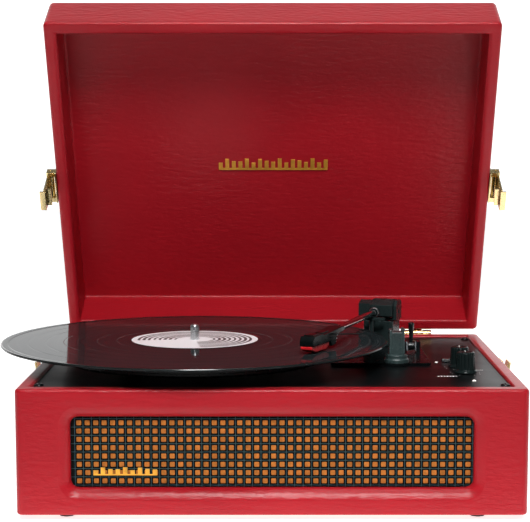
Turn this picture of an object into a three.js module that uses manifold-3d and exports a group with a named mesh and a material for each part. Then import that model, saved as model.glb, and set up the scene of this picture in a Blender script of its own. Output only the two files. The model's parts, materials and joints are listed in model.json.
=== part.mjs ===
// Suitcase record player: a leatherette case with a hinged lid, a belt-driven
// platter with a 12 inch record, a tonearm with a cue lever, and two speakers.
// Millimetres. +X right, +Y back, +Z up. The origin is the centre of the
// underside; the feet stand 4 mm below it.
import * as THREE from 'three';
import { ConvexGeometry } from 'three/addons/geometries/ConvexGeometry.js';
import { mergeVertices } from 'three/addons/utils/BufferGeometryUtils.js';
import Module from 'manifold-3d';

const wasm = await Module();
wasm.setup();

// ---------------------------------------------------------------- dimensions
// Case
const CASE_W = 364; // left to right
const CASE_D = 292; // front to back
const BASE_H = 91; // underside to the rim that the lid closes on
const WALL = 10; // side and rear walls
const FRONT_WALL = 14; // front wall, thicker to take the grille
const CORNER_R = 5;
const PLATE_TOP = BASE_H - 2; // top face of the metal plate
const PLATE_T = 3;
const LEDGE_W = 7; // ledge that the plate is screwed to
const LEDGE_H = 8;
const BOTTOM_T = 6;
const FOOT_R = 6.5;
const FOOT_H = 4;
const FOOT_X = 148;
const FOOT_Y = 128;
// Lid
const LID_H = 44;
const LID_PANEL = 4; // thickness of the lid's broad panel
const LID_OPEN_DEG = 63.75; // how far the lid stands open
const HINGE_BACK = 3.5; // hinge axis behind the case's back face
const HINGE_X = 129;
const HINGE_LEN = 24;
const KNUCKLE_R = 3;
const PIN_R = 1.2;
const LATCH_U = 143; // latch centre, forward of the lid's back edge
// Front grille
const GRILLE_HALF = 143.5;
const GRILLE_Z0 = 19;
const GRILLE_Z1 = 73.5;
const SKIN = 8; // wall left in front of the grille pocket
const SPEAKER_X = 92;
const SPEAKER_Z = 45;
const SPEAKER_R = 29;
// Turntable
const SPINDLE_X = -61.3;
const SPINDLE_Y = -13;
const SPINDLE_R = 3.5;
const SPINDLE_TOP = 120.3;
const RECORD_R = 151;
const RECORD_Z0 = 106;
const RECORD_Z1 = 108.2;
const RECORD_HOLE_R = 3.62;
const LABEL_R = 50;
const MAT_R = 101;
const MAT_Z0 = 104;
const PLATTER_R = 104;
const DRIVE_R = 62; // ring under the platter that the belt turns
const PULLEY_R = 3;
const MOTOR_REACH = 72; // spindle to motor shaft
const MOTOR_ANGLE = 35;
// Tonearm
const PIVOT_X = 89.6;
const PIVOT_Y = 78;
const ARM_Z = 120.2;
const ARM_DEG = 18.5; // arm's heading, from straight ahead towards the spindle
const HEAD_DEG = 6; // the headshell's further offset
const ARM_LEN = 121; // pivot to the headshell's rear end
const TUBE_R = 2.6;
const LIFT_R = 24; // radius of the cue platform under the tube
// Deck and controls
const DECK_T = 2;
const DECK_TOP = PLATE_TOP + DECK_T;
const DECK = { x0: 46, x1: 124, y0: -25, y1: 98 };
const REST_X = 97.2;
const REST_Y = -20;
const CUE_X = 113.3;
const CUE_Y = 35;
const CUE_Z = 96;
const KNOBS = [
  { name: 'volume_knob', x: 146.4, y: -61.5 },
  { name: 'pitch_knob', x: 145, y: -34.5 },
];
const KNOB_R = 7.4;
const KNOB_TOP = 105.5;
const SPEED_X = 137.5;
const SPEED_Y = -7;
const AUTO_X = 116;
const AUTO_Y = 68;
const LED_X = 129.7;
const LED_Y = -9;
const SCREWS = [
  { name: 'plate_screw_fl', x: -168.2, y: -119 },
  { name: 'plate_screw_fr', x: 168.2, y: -119 },
  { name: 'plate_screw_rl', x: -168.2, y: 124 },
  { name: 'plate_screw_rr', x: 168.2, y: 124 },
];
// Rear
const HANDLE_HALF = 58;
const HANDLE_Z = 56;
const HANDLE_DROP = 34;
const JACKS = { x0: 85, x1: 155, z0: 30, z1: 60 };
// General
const FIT = 0.3; // gap between pieces that touch inside a turned group
const RUN = 0.2; // running clearance of a shaft in its bore
const HALF_W = CASE_W / 2;
const HALF_D = CASE_D / 2;
const rad = THREE.MathUtils.degToRad;

// ------------------------------------------------------------------- helpers
// A closed geometry as a manifold solid, its faces turned outward.
function solid(geometry) {
  const g = geometry.index ? geometry.toNonIndexed() : geometry.clone();
  g.deleteAttribute('normal');
  g.deleteAttribute('uv');
  const merged = mergeVertices(g, 1e-4);
  const triVerts = new Uint32Array(merged.index.array);
  const vertProperties = merged.attributes.position.array;
  const made = new wasm.Manifold(new wasm.Mesh({ numProp: 3, vertProperties, triVerts }));
  if (made.volume() > 0) return made;
  for (let i = 0; i < triVerts.length; i += 3) {
    [triVerts[i], triVerts[i + 1]] = [triVerts[i + 1], triVerts[i]];
  }
  return new wasm.Manifold(new wasm.Mesh({ numProp: 3, vertProperties, triVerts }));
}

// A manifold solid as a three.js geometry.
function geometryOf(manifold) {
  const m = manifold.getMesh();
  const positions = new Float32Array(m.numVert * 3);
  for (let i = 0; i < m.numVert; i++) {
    positions.set(m.vertProperties.subarray(i * m.numProp, i * m.numProp + 3), i * 3);
  }
  const g = new THREE.BufferGeometry();
  g.setAttribute('position', new THREE.BufferAttribute(positions, 3));
  g.setIndex(new THREE.BufferAttribute(m.triVerts, 1));
  g.computeVertexNormals();
  return g;
}

function box(x0, x1, y0, y1, z0, z1) {
  const g = new THREE.BoxGeometry(x1 - x0, y1 - y0, z1 - z0);
  return solid(g.translate((x0 + x1) / 2, (y0 + y1) / 2, (z0 + z1) / 2));
}

function cylinderZ(r, x, y, z0, z1, sides = 24) {
  const g = new THREE.CylinderGeometry(r, r, z1 - z0, sides).rotateX(Math.PI / 2);
  return solid(g.translate(x, y, (z0 + z1) / 2));
}

function cylinderX(r, x0, x1, y, z, sides = 20) {
  const g = new THREE.CylinderGeometry(r, r, x1 - x0, sides).rotateZ(Math.PI / 2);
  return solid(g.translate((x0 + x1) / 2, y, z));
}

function cylinderY(r, x, y0, y1, z, sides = 20) {
  const g = new THREE.CylinderGeometry(r, r, y1 - y0, sides);
  return solid(g.translate(x, (y0 + y1) / 2, z));
}

// A profile of [radius, height] pairs turned about Z.
function turned(profile, x, y, sides = 32) {
  const points = profile.map(([r, z]) => new THREE.Vector2(r, z));
  return solid(new THREE.LatheGeometry(points, sides).rotateX(Math.PI / 2).translate(x, y, 0));
}

function roundedRect(x0, x1, y0, y1, r) {
  const s = new THREE.Shape();
  s.moveTo(x0 + r, y0);
  s.lineTo(x1 - r, y0);
  s.absarc(x1 - r, y0 + r, r, -Math.PI / 2, 0, false);
  s.lineTo(x1, y1 - r);
  s.absarc(x1 - r, y1 - r, r, 0, Math.PI / 2, false);
  s.lineTo(x0 + r, y1);
  s.absarc(x0 + r, y1 - r, r, Math.PI / 2, Math.PI, false);
  s.lineTo(x0, y0 + r);
  s.absarc(x0 + r, y0 + r, r, Math.PI, Math.PI * 1.5, false);
  return s;
}

function extrudeZ(shape, z0, z1, curveSegments = 4) {
  const settings = { depth: z1 - z0, bevelEnabled: false, curveSegments };
  return solid(new THREE.ExtrudeGeometry(shape, settings).translate(0, 0, z0));
}

// An outline in X and Z, extruded along Y.
function extrudeY(shape, y0, y1, curveSegments = 4) {
  const settings = { depth: y1 - y0, bevelEnabled: false, curveSegments };
  return solid(new THREE.ExtrudeGeometry(shape, settings).rotateX(Math.PI / 2).translate(0, y1, 0));
}

// An outline of [y, z] points, extruded along X.
function extrudeX(points, x0, x1) {
  const shape = new THREE.Shape(points.map(([y, z]) => new THREE.Vector2(y, z)));
  const settings = { depth: x1 - x0, bevelEnabled: false };
  const g = new THREE.ExtrudeGeometry(shape, settings);
  g.applyMatrix4(new THREE.Matrix4().set(0, 0, 1, x0, 1, 0, 0, 0, 0, 1, 0, 0, 0, 0, 0, 1));
  return solid(g);
}

function join(first, ...rest) {
  return rest.reduce((sum, piece) => sum.add(piece), first);
}

function cut(first, ...rest) {
  return rest.reduce((left, piece) => left.subtract(piece), first);
}

const FINISH = {
  leatherette: { color: 0xb02a36, roughness: 0.5, metalness: 0 },
  board: { color: 0xb08a5a, roughness: 0.8, metalness: 0 },
  black_metal: { color: 0x15171a, roughness: 0.4, metalness: 0.6 },
  black_plastic: { color: 0x1a1f20, roughness: 0.45, metalness: 0 },
  gloss_black: { color: 0x0a0a0b, roughness: 0.2, metalness: 0 },
  felt: { color: 0x1b1b1d, roughness: 1, metalness: 0 },
  rubber: { color: 0x111111, roughness: 0.9, metalness: 0 },
  brass: { color: 0xd8b65a, roughness: 0.25, metalness: 1 },
  chrome: { color: 0xdddddd, roughness: 0.1, metalness: 1 },
  steel: { color: 0x9a9a9a, roughness: 0.35, metalness: 1 },
  red_plastic: { color: 0xc22030, roughness: 0.4, metalness: 0 },
  green_board: { color: 0x2c6b3a, roughness: 0.6, metalness: 0 },
  grille: { color: 0xa8622c, roughness: 0.9, metalness: 0 },
  white_light: { color: 0xf2f2ee, roughness: 0.3, metalness: 0 },
};

const player = new THREE.Group();

function add(name, manifold, finish, parent = player) {
  const mesh = new THREE.Mesh(geometryOf(manifold), new THREE.MeshStandardMaterial(FINISH[finish]));
  mesh.name = name;
  parent.add(mesh);
  return mesh;
}

// A row of upright bars on a baseline: the outline of a plain badge.
const BAR_FILL = 0.6; // share of its pitch that a bar takes
const BASELINE = 0.16; // share of the height that the baseline takes
const LOW_BAR = 0.55; // lowest bar against the tallest
const BAR_STEP = 1.9; // makes neighbouring bars differ in height
function barsShape(x0, x1, z0, z1, count) {
  const pitch = (x1 - x0) / (count - 1 + BAR_FILL);
  const base = z0 + (z1 - z0) * BASELINE;
  const s = new THREE.Shape();
  s.moveTo(x0, z0);
  s.lineTo(x1, z0);
  for (let i = count - 1; i >= 0; i--) {
    const height = base + (z1 - base) * (LOW_BAR + (1 - LOW_BAR) * Math.sin(i * BAR_STEP) ** 2);
    const left = x0 + i * pitch;
    const right = Math.min(left + pitch * BAR_FILL, x1);
    if (i < count - 1) s.lineTo(right, base);
    s.lineTo(right, height);
    s.lineTo(left, height);
    if (i > 0) s.lineTo(left, base);
  }
  return s;
}

// ----------------------------------------------------------------- the case
const IN_X = HALF_W - WALL;
const IN_FRONT = -HALF_D + FRONT_WALL;
const IN_BACK = HALF_D - WALL;
const PLATE_BOTTOM = PLATE_TOP - PLATE_T;
const LEDGE_Z = PLATE_BOTTOM - LEDGE_H;
const POCKET_Y = -HALF_D + SKIN;
const POCKET = { half: 151, z0: 9, z1: LEDGE_Z };
const SCREW_HOLE_R = 1.8;
const MOUTH_R = 10; // corner radius of the grille's mouth
const FLARE = { depth: 5, spread: 5.4 }; // sloping edge of the mouth
const PAST = 1; // how far a cut runs past the face it opens

function baseShell() {
  const outer = extrudeZ(roundedRect(-HALF_W, HALF_W, -HALF_D, HALF_D, CORNER_R), 0, BASE_H);
  const inside = box(-IN_X, IN_X, IN_FRONT, IN_BACK, -PAST, LEDGE_Z);
  const ledgeX = IN_X - LEDGE_W;
  const throatY = [IN_FRONT + LEDGE_W, IN_BACK - LEDGE_W];
  const throat = box(-ledgeX, ledgeX, ...throatY, LEDGE_Z - PAST, PLATE_TOP);
  const recess = box(-IN_X, IN_X, IN_FRONT, IN_BACK, PLATE_BOTTOM, BASE_H + PAST);
  const mouth = extrudeY(mouthOutline(), -HALF_D - PAST, IN_FRONT + PAST, 5);
  const pocket = box(-POCKET.half, POCKET.half, POCKET_Y, IN_FRONT + PAST, POCKET.z0, POCKET.z1);
  const rear = box(JACKS.x0, JACKS.x1, IN_BACK - PAST, HALF_D + PAST, JACKS.z0, JACKS.z1);
  const holes = SCREWS.map((s) => cylinderZ(SCREW_HOLE_R, s.x, s.y, LEDGE_Z + 1, PLATE_TOP, 12));
  return cut(outer, inside, throat, recess, mouth, pocket, rear, grilleFlare(), ...holes);
}

function mouthOutline() {
  return roundedRect(-GRILLE_HALF, GRILLE_HALF, GRILLE_Z0, GRILLE_Z1, MOUTH_R);
}

// The sloping edge of the grille's mouth, widest at the front face.
function grilleFlare() {
  const inner = mouthOutline().getPoints(5);
  const midZ = (GRILLE_Z0 + GRILLE_Z1) / 2;
  const kx = (GRILLE_HALF + FLARE.spread) / GRILLE_HALF;
  const kz = (GRILLE_Z1 - midZ + FLARE.spread) / (GRILLE_Z1 - midZ);
  const front = inner.map((p) => [p.x * kx, midZ + (p.y - midZ) * kz]);
  const points = [];
  inner.forEach((p) => points.push(new THREE.Vector3(p.x, -HALF_D + FLARE.depth, p.y)));
  front.forEach(([x, z]) => points.push(new THREE.Vector3(x, -HALF_D - PAST, z)));
  return solid(new ConvexGeometry(points));
}

add('base_shell', baseShell(), 'leatherette');

const PLAY = 0.3; // gap round a panel that drops into the case
const ratingHalf = { x: 30, y: 20, t: 0.8 }; // recess for the rating plate
const bottomPanel = cut(
  box(-IN_X + PLAY, IN_X - PLAY, IN_FRONT + PLAY, IN_BACK - PLAY, 0, BOTTOM_T),
  box(-ratingHalf.x, ratingHalf.x, -ratingHalf.y, ratingHalf.y, -PAST, ratingHalf.t),
);
add('bottom_panel', bottomPanel, 'board');
const ratingX = ratingHalf.x - PLAY;
const ratingY = ratingHalf.y - PLAY;
add('rating_plate', box(-ratingX, ratingX, -ratingY, ratingY, 0, ratingHalf.t), 'black_plastic');

for (const [side, sx] of [['l', -1], ['r', 1]]) {
  for (const [end, sy] of [['f', -1], ['r', 1]]) {
    const foot = cylinderZ(FOOT_R, sx * FOOT_X, sy * FOOT_Y, -FOOT_H, 0, 24);
    add(`foot_${end}${side}`, foot, 'rubber');
  }
}

// ------------------------------------------------------- grille and speakers
const grilleX = POCKET.half - PLAY;
const grilleZ0 = POCKET.z0 + PLAY;
const grilleZ1 = POCKET.z1 - PLAY;
const GRILLE_FRONT = POCKET_Y + 0.2;
const GRILLE_BACK = GRILLE_FRONT + 2.2;
const grilleCloth = box(-grilleX, grilleX, GRILLE_FRONT, GRILLE_BACK, grilleZ0, grilleZ1);
add('speaker_grille', grilleCloth, 'grille');
const GRILLE_BADGE = { x0: -127.5, x1: -82, z0: 27.5, z1: 33.5, bars: 9 };
const grilleBars = barsShape(
  GRILLE_BADGE.x0,
  GRILLE_BADGE.x1,
  GRILLE_BADGE.z0,
  GRILLE_BADGE.z1,
  GRILLE_BADGE.bars,
);
const BADGE_T = 0.8;
const badgeBack = GRILLE_FRONT - 0.1;
add('grille_badge', extrudeY(grilleBars, badgeBack - BADGE_T, badgeBack), 'brass');

const BAFFLE_BACK = IN_FRONT - 0.2;
const baffle = box(-grilleX, grilleX, GRILLE_BACK + 0.1, BAFFLE_BACK, grilleZ0, grilleZ1);
const RIM = 4; // width of the speaker's rim that lies on the baffle
const speakerHoles = [-1, 1].map((s) => {
  return cylinderY(SPEAKER_R - RIM, s * SPEAKER_X, POCKET_Y, IN_FRONT, SPEAKER_Z, 28);
});
add('speaker_baffle', cut(baffle, ...speakerHoles), 'board');

// Rim, cone hollow, basket and magnet, turned about Y.
const CONE_DEPTH = 12;
const RIM_T = 3;
const MAGNET = { r: 17, y0: 16, y1: 28 };
function speaker(x) {
  const y = IN_FRONT;
  const profile = [
    [0, y + CONE_DEPTH],
    [SPEAKER_R - RIM - 2, y],
    [SPEAKER_R, y],
    [SPEAKER_R, y + RIM_T],
    [MAGNET.r, y + MAGNET.y0],
    [MAGNET.r, y + MAGNET.y1],
    [0, y + MAGNET.y1],
  ];
  const points = profile.map(([r, h]) => new THREE.Vector2(r, h));
  return solid(new THREE.LatheGeometry(points, 20).translate(x, 0, SPEAKER_Z));
}
add('speaker_left', speaker(-SPEAKER_X), 'black_metal');
add('speaker_right', speaker(SPEAKER_X), 'black_metal');

// ------------------------------------------------------------- the top plate
const pulleyX = SPINDLE_X + MOTOR_REACH * Math.cos(rad(MOTOR_ANGLE));
const pulleyY = SPINDLE_Y + MOTOR_REACH * Math.sin(rad(MOTOR_ANGLE));
const liftX = PIVOT_X - LIFT_R * Math.sin(rad(ARM_DEG));
const liftY = PIVOT_Y - LIFT_R * Math.cos(rad(ARM_DEG));
const LIFT_PIN_R = 1.8;
const LIGHT_R = 1.4;
const KNOB_SHAFT_R = 3;
const STEM = { x: 1, y: 1.4 }; // half width and half length of a slide switch's stem
const SPEED_THROW = 4; // travel of the speed switch each way
const AUTO_THROW = 3;
const through = [PLATE_BOTTOM - PAST, DECK_TOP + PAST];

function slot(x, y, travel) {
  const halfX = STEM.x + 2 * RUN;
  const halfY = STEM.y + travel + RUN;
  return box(x - halfX, x + halfX, y - halfY, y + halfY, ...through);
}
const speedSlot = slot(SPEED_X, SPEED_Y, SPEED_THROW);
const autoSlot = slot(AUTO_X, AUTO_Y, AUTO_THROW);
const liftHole = cylinderZ(LIFT_PIN_R + RUN, liftX, liftY, ...through, 16);
const SPINDLE_HOLE_R = 8;
const PULLEY_HOLE_R = 5;

const plateHoles = [
  cylinderZ(SPINDLE_HOLE_R, SPINDLE_X, SPINDLE_Y, ...through),
  cylinderZ(PULLEY_HOLE_R, pulleyX, pulleyY, ...through, 20),
  cylinderZ(LIGHT_R + RUN, LED_X, LED_Y, ...through, 14),
  ...KNOBS.map((k) => cylinderZ(KNOB_SHAFT_R + 3 * RUN, k.x, k.y, ...through, 16)),
  ...SCREWS.map((s) => cylinderZ(SCREW_HOLE_R, s.x, s.y, ...through, 12)),
  speedSlot,
  autoSlot,
  liftHole,
];
const plateY = [IN_FRONT + PLAY, IN_BACK - PLAY];
const plate = box(-IN_X + PLAY, IN_X - PLAY, ...plateY, PLATE_BOTTOM, PLATE_TOP);
add('top_plate', cut(plate, ...plateHoles), 'black_metal');

const SCREW_R = 1.5;
const SCREW_HEAD = { r: 3.5, edge: 1.2, top: 1.6 };
const DRIVER_SLOT = { half: 2, halfWidth: 0.4, floor: 0.7 };
for (const s of SCREWS) {
  const profile = [
    [0, LEDGE_Z + 2],
    [SCREW_R, LEDGE_Z + 2],
    [SCREW_R, PLATE_TOP],
    [SCREW_HEAD.r, PLATE_TOP],
    [SCREW_HEAD.r - 0.4, PLATE_TOP + SCREW_HEAD.edge],
    [0, PLATE_TOP + SCREW_HEAD.top],
  ];
  const driverSlot = box(
    s.x - DRIVER_SLOT.half,
    s.x + DRIVER_SLOT.half,
    s.y - DRIVER_SLOT.halfWidth,
    s.y + DRIVER_SLOT.halfWidth,
    PLATE_TOP + DRIVER_SLOT.floor,
    PLATE_TOP + SCREW_HEAD.top + PAST,
  );
  add(s.name, cut(turned(profile, s.x, s.y, 16), driverSlot), 'black_metal');
}

// Raised deck that carries the tonearm, with the lobe under the arm rest and
// the two ears that hold the cue lever.
const EAR = { t: 2.6, gap: 8.8, half: 6, z1: 100 };
const earInner = EAR.gap / 2;
const earOuter = earInner + EAR.t;
const CUE_AXLE_R = 1.4;
const LOBE_R = 11;
const deckOutline = roundedRect(DECK.x0, DECK.x1, DECK.y0, DECK.y1, 3);
const deckSlab = extrudeZ(deckOutline, PLATE_TOP, DECK_TOP);
const deckLobe = cylinderZ(LOBE_R, REST_X, REST_Y, PLATE_TOP, DECK_TOP, 28);

function cueEar(x0, x1) {
  return box(x0, x1, CUE_Y - EAR.half, CUE_Y + EAR.half, PLATE_TOP + 1, EAR.z1);
}
const earLeft = cueEar(CUE_X - earOuter, CUE_X - earInner);
const earRight = cueEar(CUE_X + earInner, CUE_X + earOuter);
const boreX = [CUE_X - earOuter - PAST, CUE_X + earOuter + PAST];
const earBore = cylinderX(CUE_AXLE_R + RUN, ...boreX, CUE_Y, CUE_Z, 16);
const deck = join(deckSlab, deckLobe, earLeft, earRight);
add('mechanism_deck', cut(deck, earBore, autoSlot, liftHole), 'black_plastic');

// ------------------------------------------------------------------ platter
// The drive ring hangs below the disc; a rim runs round the edge.
const DRIVE_Z0 = 91.5;
const DISC_Z = 98.6; // underside of the disc, above the pulley
const SKIRT = { t: 5, z0: 94, chamfer: 1.5 };
const PRESS = 0.1; // gap round the spindle that the platter is fixed on
const platterProfile = [
  [SPINDLE_R + PRESS, DRIVE_Z0],
  [DRIVE_R, DRIVE_Z0],
  [DRIVE_R, DISC_Z],
  [PLATTER_R - SKIRT.t, DISC_Z],
  [PLATTER_R - SKIRT.t, SKIRT.z0],
  [PLATTER_R - SKIRT.chamfer, SKIRT.z0],
  [PLATTER_R, SKIRT.z0 + SKIRT.chamfer],
  [PLATTER_R, MAT_Z0 - SKIRT.chamfer],
  [PLATTER_R - SKIRT.chamfer, MAT_Z0],
  [SPINDLE_R + PRESS, MAT_Z0],
  [SPINDLE_R + PRESS, DRIVE_Z0],
];
add('platter', turned(platterProfile, SPINDLE_X, SPINDLE_Y, 40), 'black_metal');

// A flat ring about the spindle, its edges square.
function ring(rIn, rOut, z0, z1, sides) {
  const profile = [[rIn, z0], [rOut, z0], [rOut, z1], [rIn, z1], [rIn, z0]];
  return turned(profile, SPINDLE_X, SPINDLE_Y, sides);
}
add('slipmat', ring(SPINDLE_R + 0.5, MAT_R, MAT_Z0, RECORD_Z0 - 0.2, 36), 'felt');

const BEAD = { w: 6, chamfer: 1.2, edge: 0.7 }; // raised bead round the edge
const GROOVE_DROP = 0.3; // the grooves lie lower than the bead and the label
const recordProfile = [
  [RECORD_HOLE_R, RECORD_Z0],
  [RECORD_R - BEAD.chamfer, RECORD_Z0],
  [RECORD_R, RECORD_Z0 + BEAD.edge],
  [RECORD_R, RECORD_Z1 - BEAD.edge],
  [RECORD_R - BEAD.chamfer, RECORD_Z1],
  [RECORD_R - BEAD.w, RECORD_Z1 - GROOVE_DROP],
  [LABEL_R + 4, RECORD_Z1 - GROOVE_DROP],
  [LABEL_R, RECORD_Z1],
  [RECORD_HOLE_R, RECORD_Z1],
  [RECORD_HOLE_R, RECORD_Z0],
];
add('record', turned(recordProfile, SPINDLE_X, SPINDLE_Y, 48), 'gloss_black');

const SPINDLE_Z0 = 74;
const spindleProfile = [
  [0, SPINDLE_Z0],
  [SPINDLE_R, SPINDLE_Z0],
  [SPINDLE_R, SPINDLE_TOP - 3],
  [SPINDLE_R * 0.85, SPINDLE_TOP - 1.2],
  [SPINDLE_R * 0.5, SPINDLE_TOP - 0.3],
  [0, SPINDLE_TOP],
];
add('spindle', turned(spindleProfile, SPINDLE_X, SPINDLE_Y, 24), 'chrome');

const HOUSING = { r: 10, z0: 72, flangeR: 18, flangeZ: 82 };
const bearingProfile = [
  [SPINDLE_R + RUN, HOUSING.z0],
  [HOUSING.r, HOUSING.z0],
  [HOUSING.r, HOUSING.flangeZ],
  [HOUSING.flangeR, HOUSING.flangeZ],
  [HOUSING.flangeR, PLATE_BOTTOM],
  [SPINDLE_R + RUN, PLATE_BOTTOM],
  [SPINDLE_R + RUN, HOUSING.z0],
];
add('bearing', turned(bearingProfile, SPINDLE_X, SPINDLE_Y, 18), 'steel');

// -------------------------------------------------------------------- drive
const MOTOR = { r: 17, z0: 56, z1: 80, neckR: 8 };
const MOTOR_SHAFT = { r: 1, z0: 76 };
const motorBody = cylinderZ(MOTOR.r, pulleyX, pulleyY, MOTOR.z0, MOTOR.z1, 18);
const motorNeck = cylinderZ(MOTOR.neckR, pulleyX, pulleyY, MOTOR.z1 - 1, PLATE_BOTTOM, 14);
const boreZ = [MOTOR_SHAFT.z0 - 2, PLATE_TOP];
const motorBore = cylinderZ(MOTOR_SHAFT.r + RUN, pulleyX, pulleyY, ...boreZ, 12);
add('motor', cut(join(motorBody, motorNeck), motorBore), 'steel');

const PULLEY = { z0: 90.5, waist0: 91.8, waist1: 96.2, z1: 97.4, flange: 1 };
const pulleyProfile = [
  [0, MOTOR_SHAFT.z0],
  [MOTOR_SHAFT.r, MOTOR_SHAFT.z0],
  [MOTOR_SHAFT.r, PULLEY.z0],
  [PULLEY_R + PULLEY.flange, PULLEY.z0],
  [PULLEY_R, PULLEY.waist0],
  [PULLEY_R, PULLEY.waist1],
  [PULLEY_R + PULLEY.flange, PULLEY.waist1 + 0.6],
  [PULLEY_R + PULLEY.flange, PULLEY.z1],
  [0, PULLEY.z1],
];
add('pulley', turned(pulleyProfile, pulleyX, pulleyY, 14), 'brass');

// The loop round two circles on one line: a large one at 0 and a small one at
// the given reach, both grown by the same amount.
function loopShape(rLarge, rSmall, reach) {
  const lean = Math.acos((rLarge - rSmall) / reach);
  const s = new THREE.Shape();
  s.absarc(0, 0, rLarge, lean, 2 * Math.PI - lean, false);
  s.absarc(reach, 0, rSmall, -lean, lean, false);
  s.closePath();
  return s;
}
const BELT = { gap: 0.4, t: 1, z0: 92.4, z1: 95.6 };
const beltIn = [DRIVE_R + BELT.gap, PULLEY_R + BELT.gap];
const beltOut = beltIn.map((r) => r + BELT.t);
const beltSolid = extrudeZ(loopShape(...beltOut, MOTOR_REACH), BELT.z0, BELT.z1, 24);
const beltHollow = extrudeZ(loopShape(...beltIn, MOTOR_REACH), BELT.z0 - PAST, BELT.z1 + PAST, 24);
const beltLoop = cut(beltSolid, beltHollow);
const belt = add('belt', beltLoop, 'rubber');
belt.position.set(SPINDLE_X, SPINDLE_Y, 0);
belt.rotation.z = rad(MOTOR_ANGLE);

// ----------------------------------------------------------------- controls
const KNOB_SKIRT = { z0: PLATE_TOP + 0.4, z1: PLATE_TOP + 1.6, out: 1.2 };
const KNOB_SHAFT_Z0 = 80;
for (const k of KNOBS) {
  const profile = [
    [0, KNOB_SHAFT_Z0],
    [KNOB_SHAFT_R, KNOB_SHAFT_Z0],
    [KNOB_SHAFT_R, KNOB_SKIRT.z0],
    [KNOB_R + KNOB_SKIRT.out, KNOB_SKIRT.z0],
    [KNOB_R + KNOB_SKIRT.out, KNOB_SKIRT.z1],
    [KNOB_R, KNOB_SKIRT.z1 + 0.8],
    [KNOB_R - 0.5, KNOB_TOP - 1],
    [KNOB_R - 1.4, KNOB_TOP],
    [0, KNOB_TOP],
  ];
  add(k.name, turned(profile, k.x, k.y, 20), 'black_plastic');
}

// Small board under the plate, with one rotary control below each knob.
const CONTROLS = { x0: 132, x1: 160, y0: -76, y1: -20, z0: 72, z1: 73.6 };
const POT = { r: 8, top: 84 };
const controlSlab = box(
  CONTROLS.x0,
  CONTROLS.x1,
  CONTROLS.y0,
  CONTROLS.y1,
  CONTROLS.z0,
  CONTROLS.z1,
);
const pots = KNOBS.map((k) => cylinderZ(POT.r, k.x, k.y, CONTROLS.z1 - 0.6, POT.top, 14));
const potBoreZ = [KNOB_SHAFT_Z0 - 1, POT.top + PAST];
const potBores = KNOBS.map((k) => cylinderZ(KNOB_SHAFT_R + RUN, k.x, k.y, ...potBoreZ, 12));
add('control_board', cut(join(controlSlab, ...pots), ...potBores), 'green_board');

// A slide button with its stem through a slot.
const BUTTON = { halfX: 3.5, foot: 3, crest: 2.2, lift: 0.3, height: 3 };
function slideButton(x, y, top) {
  const outline = [
    [y - BUTTON.foot, top + BUTTON.lift],
    [y + BUTTON.foot, top + BUTTON.lift],
    [y + BUTTON.crest, top + BUTTON.height],
    [y - BUTTON.crest, top + BUTTON.height],
  ];
  const cap = extrudeX(outline, x - BUTTON.halfX, x + BUTTON.halfX);
  const stemZ = [PLATE_BOTTOM - BUTTON.height, top + 2 * BUTTON.lift];
  const stem = box(x - STEM.x, x + STEM.x, y - STEM.y, y + STEM.y, ...stemZ);
  return join(cap, stem);
}
add('speed_switch', slideButton(SPEED_X, SPEED_Y, PLATE_TOP), 'black_plastic');
add('auto_stop_switch', slideButton(AUTO_X, AUTO_Y, DECK_TOP), 'black_plastic');
const lightProfile = [
  [0, PLATE_BOTTOM],
  [LIGHT_R, PLATE_BOTTOM],
  [LIGHT_R, PLATE_TOP],
  [LIGHT_R - 0.5, PLATE_TOP + 0.6],
  [0, PLATE_TOP + 0.8],
];
add('power_light', turned(lightProfile, LED_X, LED_Y, 14), 'white_light');

// Cue lever: hub, axle and a stick that widens to its top.
const STICK = { foot: 1.9, top: 2.6, length: 17, mid: 107 };
const stickShape = new THREE.CylinderGeometry(STICK.top, STICK.foot, STICK.length, 12);
const stick = solid(stickShape.rotateX(Math.PI / 2).translate(CUE_X, CUE_Y, STICK.mid));
const HUB_R = 4;
const hubHalf = earInner - 2 * RUN;
const axleHalf = earOuter - FIT;
const hub = cylinderX(HUB_R, CUE_X - hubHalf, CUE_X + hubHalf, CUE_Y, CUE_Z, 20);
const cueAxle = cylinderX(CUE_AXLE_R, CUE_X - axleHalf, CUE_X + axleHalf, CUE_Y, CUE_Z, 14);
add('cue_lever', join(hub, cueAxle, stick), 'black_plastic');

// Arm rest: stepped foot, post and a U cradle, low on the record's side.
const REST_FOOT = { r: 9.8, step: 8.6, z1: 93.6, z2: 94.4, z3: 97 };
const CRADLE = { half: 6, depth: 5.5, notch: 3.6, floor: 115.2, low: 117, high: 118 };
const restFootProfile = [
  [0, DECK_TOP],
  [REST_FOOT.r, DECK_TOP],
  [REST_FOOT.r, REST_FOOT.z1],
  [REST_FOOT.step, REST_FOOT.z2],
  [REST_FOOT.step, REST_FOOT.z3],
  [0, REST_FOOT.z3],
];
const restFoot = turned(restFootProfile, REST_X, REST_Y, 28);

// A box about the arm rest, between two places either side of its middle.
function restBox(x0, x1, halfY, z0, z1) {
  return box(REST_X + x0, REST_X + x1, REST_Y - halfY, REST_Y + halfY, z0, z1);
}
const pastCradle = CRADLE.half + PAST;
const restPost = restBox(-CRADLE.half, CRADLE.half, CRADLE.depth, REST_FOOT.z3 - 1, CRADLE.high);
const restNotch = restBox(-CRADLE.notch, CRADLE.notch, pastCradle, CRADLE.floor, CRADLE.high + PAST);
const restLow = restBox(-pastCradle, 0, pastCradle, CRADLE.low, CRADLE.high + PAST);
add('arm_rest', cut(join(restFoot, restPost), restNotch, restLow), 'black_plastic');

// ------------------------------------------------------------------ tonearm
// Drawn in its own frame: the pivot at X 0, Y 0, the arm along -Y.
const armFrame = new THREE.Group();
armFrame.position.set(PIVOT_X, PIVOT_Y, 0);
armFrame.rotation.z = -rad(ARM_DEG);
player.add(armFrame);

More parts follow.
